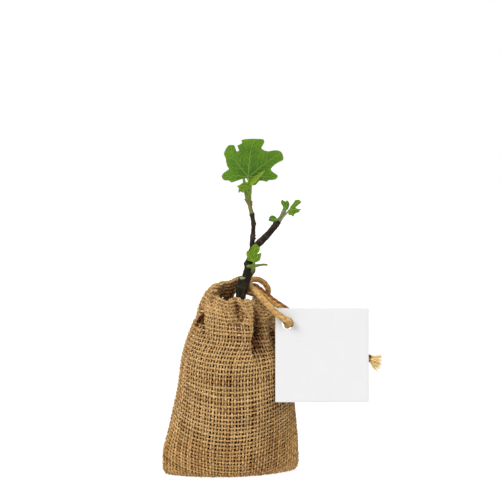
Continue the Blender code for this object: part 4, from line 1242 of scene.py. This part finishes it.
def top_shoot(deep, fresh):
    """The top shoot: two stalks and a small one, the sheath at their foot, and four leaves."""
    pale = stem_finish("top_stem_green", (0.05, 0.11, 0.008), (0.135, 0.215, 0.025), (0.17, 0.095, 0.045))
    stems = [shoot(TOP_STEM, (0.35, 0.0)), shoot(TOP_LEFT_STALK, (0.0, 0.0)), shoot(YOUNG_STALK, (0.0, 0.0))]
    build("top_stem", stems, pale, ("top_foliage",))
    husk = stem_finish("stipule", (0.085, 0.045, 0.014), (0.165, 0.10, 0.04), (0.14, 0.082, 0.035))
    build("stipule_sheath", [sheath()], husk)
    leaf("fig_leaf", FIG_LEAF, FIG_VEINS, deep, root=(13.1, -1.4, 224.0), lean=11, turn=4, cup=2.0,
         around=760, across=52, bulge=0.34, ripple=0.42, vein_width=0.3, spread=FIG_SPREAD)
    leaf("young_leaf", YOUNG_LEAF, YOUNG_VEINS, fresh, root=(12.2, -3.3, 217.2), lean=4, turn=8, cup=-1.5,
         pole=(-1.5, -0.8))
    leaf("bract_leaf", BRACT, BRACT_VEINS, fresh, root=(12.9, -3.0, 223.4), lean=6, turn=6, cup=1.0,
         pole=(4.6, -2.0), bulge=0.15)
    bright = leaf_finish("spear_green", (0.085, 0.155, 0.004), (0.15, 0.235, 0.01), (0.19, 0.28, 0.03))
    leaf("spear_leaf", SPEAR_LEAF, SPEAR_VEINS, bright, root=(14.6, -4.4, 217.9), lean=3, turn=0, cup=0.4,
         pole=(4.6, 4.8), bulge=0.2, ripple=0.12)


def side_shoot(deep, fresh):
    """The shoot at the end of the side bough: its stem, two stalks and three leaves."""
    pale = stem_finish("side_stem_green", (0.11, 0.17, 0.05), (0.22, 0.29, 0.12), (0.07, 0.05, 0.018))
    stems = [shoot(SIDE_STEM, (1.0, 0.0)), shoot(SIDE_STALK, (0.25, 0.25)), shoot(ROUND_STALK, (0.35, 0.35))]
    build("side_stem", stems, pale, ("side_foliage",))
    leaf("crest_leaf", CREST, CREST_VEINS, deep, root=(41.0, 1.2, 201.4), lean=6, turn=-10, cup=1.5,
         pole=(0.2, 0.8))
    leaf("side_leaf", SIDE_LEAF, SIDE_VEINS, fresh, root=(44.8, -1.6, 200.6), lean=8, turn=14, cup=1.5,
         pole=(2.0, -1.2), around=420)
    leaf("round_leaf", ROUND_LEAF, ROUND_VEINS, deep, root=(34.6, -0.4, 191.7), lean=8, turn=-12, cup=1.5,
         pole=(-2.8, 0.8))


def low_shoot(fresh, green):
    """The low shoot on the leader: its stem, the stalk of its one leaf, and a bud that hangs below."""
    stems = [shoot(SPROUT_STALK, (0.1, 0.1)), shoot(LOW_STEM, (0.0, 0.5))]
    build("low_stem", stems, green, ("low_foliage",))
    olive = stem_finish("bud_scales", (0.055, 0.075, 0.01), (0.14, 0.16, 0.035), (0.05, 0.032, 0.012))
    build("low_bud", [shoot(LOW_BUD, (0.0, 0.8), ribs=3)], olive)
    leaf("sprout_leaf", SPROUT_LEAF, SPROUT_VEINS, fresh, root=(17.2, -7.7, 160.9), lean=2, turn=6, cup=0.8,
         pole=(0.2, 4.6), around=420, across=32)


def foliage():
    deep = leaf_finish("leaf_green", (0.030, 0.088, 0.002), (0.077, 0.168, 0.004), (0.135, 0.235, 0.03))
    fresh = leaf_finish("young_leaf_green", (0.054, 0.117, 0.003), (0.112, 0.192, 0.006), (0.16, 0.25, 0.025))
    green = stem_finish("shoot_green", (0.06, 0.115, 0.006), (0.13, 0.205, 0.018), (0.07, 0.055, 0.02))
    top_shoot(deep, fresh)
    side_shoot(deep, fresh)
    low_shoot(fresh, green)


# ---------------------------------------------------------------- drawstring

CORD_RADIUS = 2.5
CORD_LAY = 15.0  # mm for one turn of its three strands
LOOP = (
    (13.2, 8.6, 143.2), (16.0, 10.1, 145.5), (19.2, 10.1, 145.8), (22.6, 9.6, 145.0), (26.0, 9.6, 142.4),
    (28.2, 10.4, 138.8), (28.3, 12.8, 135.4), (26.2, 17.0, 133.2), (22.0, 20.6, 132.6), (16.8, 20.6, 133.6),
    (12.2, 18.6, 135.2), (7.8, 17.4, 136.4), (4.4, 17.2, 136.4),
)
FRONT_END = (
    (12.4, 6.6, 142.0), (15.0, 3.5, 140.4), (19.9, -3.3, 137.0), (23.9, -9.2, 133.1), (27.6, -15.2, 129.9),
    (32.9, -22.5, 125.0), (38.8, -25.0, 121.0), (42.9, -25.2, 118.7), (44.2, -23.2, 117.9),
    (43.6, -20.0, 117.0), (43.3, -17.0, 116.4),
)
REAR_END = (
    (14.2, 7.4, 140.4), (18.5, 7.6, 140.0), (24.4, 3.8, 135.9), (30.0, -0.6, 131.9), (35.0, -4.4, 128.7),
    (44.0, -10.6, 123.4), (54.0, -14.6, 117.8), (74.6, -17.4, 106.4), (92.0, -19.0, 96.4),
    (102.4, -19.5, 90.3), (104.4, -19.6, 89.4),
)
CORD_UP = (0.31, -0.2, 0.93)
LOOP_RADIUS = 2.15
REAR_RADIUS = 2.85
# painted shade along the top of the rear cord: a dark shadow line
REAR_TOP_PAINTED_SHADE = 0.55
# Knots: centre, half-size on each axis, how far the knot is turned about X in radians.
NECK_KNOT = ((12.6, 7.1, 140.3), (4.6, 4.5, 4.7), 0.9)
STOP_KNOT = ((43.4, -15.9, 116.2), (5.2, 4.8, 5.2), 0.4)
KNOT_CORD_RADIUS = 1.85
KNOT_LAY = 11.0
KNOT_INSET = 1.75  # how far the middle of its cord lies inside the knot's half-size
FRAY_START = (103.4, -19.6, 89.9)
FRAY_AHEAD = (1.0, -0.02, -0.42)
FRAY_UP = (0.4, 0.0, 0.92)
FRAY_END = 112.4  # the fibres stop at this x
FRAY_FIBRES = ((30, 0.36, 10.5), (150, 0.11, 11.5))  # count, thickness, greatest length
CORD_HAIRS = 150  # on each of the three lengths of cord
HAIR_LENGTH = 2.2
HAIR_RADIUS = 0.06


def cord(points, radius=CORD_RADIUS, lay=CORD_LAY, sides=36, top_painted_shade=0.0):
    """Three-strand jute cord along a smooth curve.

    The section is a ring of three shallow lobes that turns once in `lay` mm, with fine ridges of fibre on it.
    """
    run, rows = even_path(np.column_stack([points, np.full(len(points), radius)]), 0.4)
    turn = angles_round(sides)
    phase = turn - TURN * run[:, None] / lay
    lobe = np.abs(np.cos(1.5 * phase))
    strand = np.stack([2.2 * np.cos(phase), 2.2 * np.sin(phase), 0.3 * run[:, None] + 0 * phase], -1)
    fibre = lumps(strand, 0.9)
    relief = 0.86 + 0.14 * lobe**0.7 + 0.028 * fibre + 0.02 * lumps(strand * (1, 1, 3), 2.5)
    # the strands' crests are lighter and the grooves between them darker: painted light and painted shade
    tone = np.clip(0.42 + 0.26 * lobe + 0.13 * fibre + 0.10 * wander(1, len(run), 12)[0][:, None], 0, 1)
    # the upper side of the cord is darkened: a painted shadow line
    tone = np.clip(tone - top_painted_shade * smoothstep(0.5, 0.75, np.sin(turn)), 0, 1)
    section = (rows[:, 3:] * relief)[None]
    return tubes(rows[None, :, :3], CORD_UP, section, sides, 1.0, {"tone": tone[None]})


def knot(centre, size, turned):
    """A pulled-tight knot: a trefoil curve of cord, squeezed to its size."""
    t = np.linspace(0, TURN, 49) + 0.3
    curve = [np.sin(t) + 2 * np.sin(2 * t), np.cos(t) - 2 * np.cos(2 * t), -np.sin(3 * t) * 1.6]
    c, s = math.cos(turned), math.sin(turned)
    curve = np.column_stack(curve) / 3 @ np.array([[1, 0, 0], [0, c, -s], [0, s, c]]).T
    return cord(curve * (np.array(size) - KNOT_INSET) + centre, KNOT_CORD_RADIUS, KNOT_LAY, 28)


def cord_hairs():
    """Short loose hairs all over the loop and the two ends."""
    roots, ways = [], []
    for points in (LOOP, FRONT_END, REAR_END):
        run, rows = even_path(np.column_stack([points, np.full(len(points), CORD_RADIUS)]), 0.5)
        pick = rng.integers(4, len(run) - 4, CORD_HAIRS)
        along = unit(rows[pick + 1, :3] - rows[pick - 1, :3])
        way = rng.normal(size=(CORD_HAIRS, 3))
        way = unit(way - (way * along).sum(1, keepdims=True) * along)
        roots.append(rows[pick, :3] + way * CORD_RADIUS * 0.9)
        ways.append(way)
    root, normal = np.concatenate(roots), np.concatenate(ways)
    count = len(root)
    way = unit(unit(rng.normal(size=(count, 3))) + normal * rng.uniform(0.2, 1.0, (count, 1)))[:, None]
    length = (rng.gamma(3.0, 0.33, (count, 1, 1)) + 0.3) * HAIR_LENGTH
    return loose_hairs(root[:, None], way, length, HAIR_RADIUS)


def fray():
    """The untwisted end of the rear cord: thick yarns and fine fibres that fan out from its cut.

    A fibre is start + ahead * length * t, plus a way across that grows with t to the power 1.4, plus a curl.
    """
    ahead = unit(np.array(FRAY_AHEAD))
    parts = []
    for count, slim, most in FRAY_FIBRES:
        turn = rng.uniform(0, TURN, (count, 1, 1))
        out = np.sqrt(rng.uniform(0, 1, (count, 1, 1)))
        across = np.array(FRAY_UP) * np.cos(turn) * out + np.array(TO_BACK) * np.sin(turn) * out
        t = np.linspace(0, 1, 12)[None, :, None]
        length = most * rng.uniform(0.55, 1.0, (count, 1, 1))
        curl = random_ways(count) * rng.uniform(0.2, 1.1, (count, 1, 1))
        fan_out = across * (2.1 + 6.2 * t**1.4 * (1, 0.75, 1))
        paths = np.array(FRAY_START) + ahead * length * t + fan_out + curl * np.sin(3.2 * t) * t
        paths[..., 0] = np.minimum(paths[..., 0], FRAY_END)
        ups = random_ways(count)
        radius = slim * (1 - 0.45 * t[..., 0]) * rng.uniform(0.75, 1.25, (count, 1))
        tone = np.broadcast_to(rng.uniform(0.55, 1.0, (count, 1)), radius.shape)
        parts.append(tubes(paths, ups, radius, 5, 1.0, {"tone": tone}))
    return parts


def drawstring():
    """The loop, the two ends and the two knots, with the fray at the rear end and hairs all along."""
    tan = jute("jute_cord", (0.24, 0.12, 0.034), (0.42, 0.26, 0.09), (0.58, 0.40, 0.165))
    # jute_cord_shaded: the cord's colours made darker for the loop, the rear end and the neck knot, as
    # painted shade
    dark = jute("jute_cord_shaded", (0.20, 0.085, 0.02), (0.37, 0.20, 0.056), (0.50, 0.31, 0.11))
    pale = jute("jute_fray", (0.46, 0.30, 0.11), (0.66, 0.48, 0.20), (0.80, 0.64, 0.33))
    build("drawstring_loop_cord", [cord(LOOP, LOOP_RADIUS)], dark, ("drawstring_loop",))
    build("drawstring_front_cord", [cord(FRONT_END)], tan, ("drawstring_front_end",))
    rear = cord(REAR_END, REAR_RADIUS, top_painted_shade=REAR_TOP_PAINTED_SHADE)
    build("drawstring_rear_cord", [rear], dark, ("drawstring_rear_end",))
    build("drawstring_knot_cord", [knot(*NECK_KNOT)], dark, ("drawstring_knot",))
    build("drawstring_stop_cord", [knot(*STOP_KNOT)], tan, ("drawstring_stop_knot",))
    build("drawstring_fray", fray(), pale)
    build("drawstring_hairs", [cord_hairs()], pale)


# ---------------------------------------------------------------- tag card

CARD = 69.4
CARD_HEIGHT = 69.8
CARD_THICKNESS = 0.8
CARD_LEFT = 33.4
CARD_TOP = 127.35
CARD_DEPTH = -18.5
CARD_LEAN = math.radians(7.1)
CARD_HOLE_RADIUS = 4.4
CARD_HOLE = (9.1, 58.4)
CARD_EDGE = 0.22  # radius that its edges are rounded to
CARD_BOW = 0.25
CARD_SIDE_STEPS = 60
CARD_RINGS = 24


def tag_card():
    """A square card with a punched hole: rings from the hole's circle out to the square, front and back.

    The two faces are closed at the hole and at the edge by a rounded lip, and the card bows by CARD_BOW.
    """
    hole = np.array(CARD_HOLE)
    side = np.linspace(0, 1, CARD_SIDE_STEPS + 1)[:-1]
    flat = np.zeros_like(side)
    square = np.concatenate([np.column_stack([side, flat]), np.column_stack([flat + 1, side]),
                             np.column_stack([1 - side, flat + 1]), np.column_stack([flat, 1 - side])])
    square = square * (CARD, CARD_HEIGHT)
    circle = hole + CARD_HOLE_RADIUS * unit(square - hole)
    lip = CARD_EDGE * np.array([0.0, 0.29, 1.0])
    full = np.linalg.norm(square - circle, axis=1)[:, None]
    share = np.linspace(0, 1, CARD_RINGS + 2)[1:-1]
    out = np.concatenate([lip / full, share * np.ones_like(full), 1 - lip[::-1] / full], axis=1)
    half = CARD_THICKNESS / 2
    drop = CARD_EDGE * np.array([1.0, 0.29, 0.0])
    thick = half - np.concatenate([drop, np.zeros(len(share)), drop[::-1]])
    plane = circle[None] + (square - circle)[None] * out.T[..., None]
    bow = CARD_BOW * np.sin(math.pi * plane[..., 0] / CARD) * np.sin(0.7 * math.pi * plane[..., 1] / CARD)
    up = np.array([0.0, math.sin(CARD_LEAN), math.cos(CARD_LEAN)])
    face = np.array([0.0, -math.cos(CARD_LEAN), math.sin(CARD_LEAN)])
    foot = np.array([CARD_LEFT, CARD_DEPTH, CARD_TOP]) - CARD_HEIGHT * up
    middle = foot + plane[..., :1] * (1, 0, 0) + plane[..., 1:] * up + bow[..., None] * face
    front, back = (middle + way * thick[:, None, None] * face for way in (1, -1))
    rings = np.concatenate([front, back[::-1]])
    faces = [ring_quads(*rings.shape[:2], loop=True)]
    build("tag_card_paper", [(rings.reshape(-1, 3), faces, {}, None)], paper_finish(), ("tag_card",))


# ---------------------------------------------------------------- floor, light and camera

VIEW_CENTRE = (0.0146, 0.0, 0.169)  # metres
VIEW_ELEVATION = math.radians(5.5)
VIEW_DISTANCE = 1.6
PIXEL = 0.00075  # metres at the sapling that one pixel shows
FRAME_PIXELS = 500
SENSOR = 36.0
CLIP_START = 0.05  # metres
# soft lights: degrees to the left of the camera, degrees above the floor, spread in degrees, strength
LIGHTS = {"key_light": (50.0, 40.0, 26.0, 2.8), "fill_light": (-36.0, 38.0, 36.0, 1.5),
          "back_light": (160.0, 52.0, 40.0, 0.9)}
FLOOR_REACH = 3000
FLOOR_CELLS = 24
FLOOR_GLOW = 0.80
SKY_WHITE_TO = 0.16
SKY_GREY_FROM = 0.40
SKY_TOP = 0.22


def studio_floor():
    """A wide glowing white floor: a flat grid of square cells."""
    reach = np.linspace(-FLOOR_REACH, FLOOR_REACH, FLOOR_CELLS + 1)
    x, y = np.meshgrid(reach, reach)
    points = np.stack([x, y, 0 * x], -1).reshape(-1, 3) * MM
    row = FLOOR_CELLS + 1
    k = (np.arange(FLOOR_CELLS)[:, None] * row + np.arange(FLOOR_CELLS)).reshape(-1)
    mesh = bpy.data.meshes.new("studio_floor")
    mesh.from_pydata(points.tolist(), [], np.column_stack([k, k + 1, k + row + 1, k + row]).tolist())
    floor = bpy.data.objects.new("studio_floor", mesh)
    mesh.materials.append(floor_finish())
    bpy.context.scene.collection.objects.link(floor)


def studio_sky():
    """A surround that is white at the level of the eye and grey overhead."""
    world = bpy.data.worlds.new("studio")
    bpy.context.scene.world = world
    world.use_nodes = True
    tree = world.node_tree
    way = tree.nodes.new("ShaderNodeTexCoord")
    split = tree.nodes.new("ShaderNodeSeparateXYZ")
    ramp = tree.nodes.new("ShaderNodeValToRGB")
    for element, at, grey in zip(ramp.color_ramp.elements, (SKY_WHITE_TO, SKY_GREY_FROM), (1.0, SKY_TOP)):
        element.position = at
        element.color = (grey, grey, grey, 1.0)
    tree.links.new(way.outputs["Generated"], split.inputs["Vector"])
    tree.links.new(split.outputs["Z"], ramp.inputs["Fac"])
    tree.links.new(ramp.outputs["Color"], tree.nodes["Background"].inputs["Color"])


def studio():
    """The floor, the surround and three wide soft lights."""
    studio_floor()
    studio_sky()
    for name, (side, height, spread, strength) in LIGHTS.items():
        light = bpy.data.lights.new(name, "SUN")
        light.angle = math.radians(spread)
        light.energy = strength
        lamp = bpy.data.objects.new(name, light)
        lamp.rotation_euler = (math.radians(90 - height), 0.0, math.radians(-side))
        bpy.context.scene.collection.objects.link(lamp)
    bpy.context.scene.view_settings.view_transform = "Standard"


def camera():
    lens = bpy.data.cameras.new("camera")
    lens.sensor_width = SENSOR
    lens.lens = SENSOR * VIEW_DISTANCE / (FRAME_PIXELS * PIXEL)
    lens.clip_start = CLIP_START
    eye = bpy.data.objects.new("camera", lens)
    away = VIEW_DISTANCE * np.array([0.0, -math.cos(VIEW_ELEVATION), math.sin(VIEW_ELEVATION)])
    eye.location = np.array(VIEW_CENTRE) + away
    eye.rotation_euler = (math.pi / 2 - VIEW_ELEVATION, 0.0, 0.0)
    bpy.context.scene.collection.objects.link(eye)
    bpy.context.scene.camera = eye


camera()
studio()
sack()
slit_and_seam()
stray_fibres()
root_ball()
compost_crumbs()
woody_limbs()
foliage()
drawstring()
tag_card()
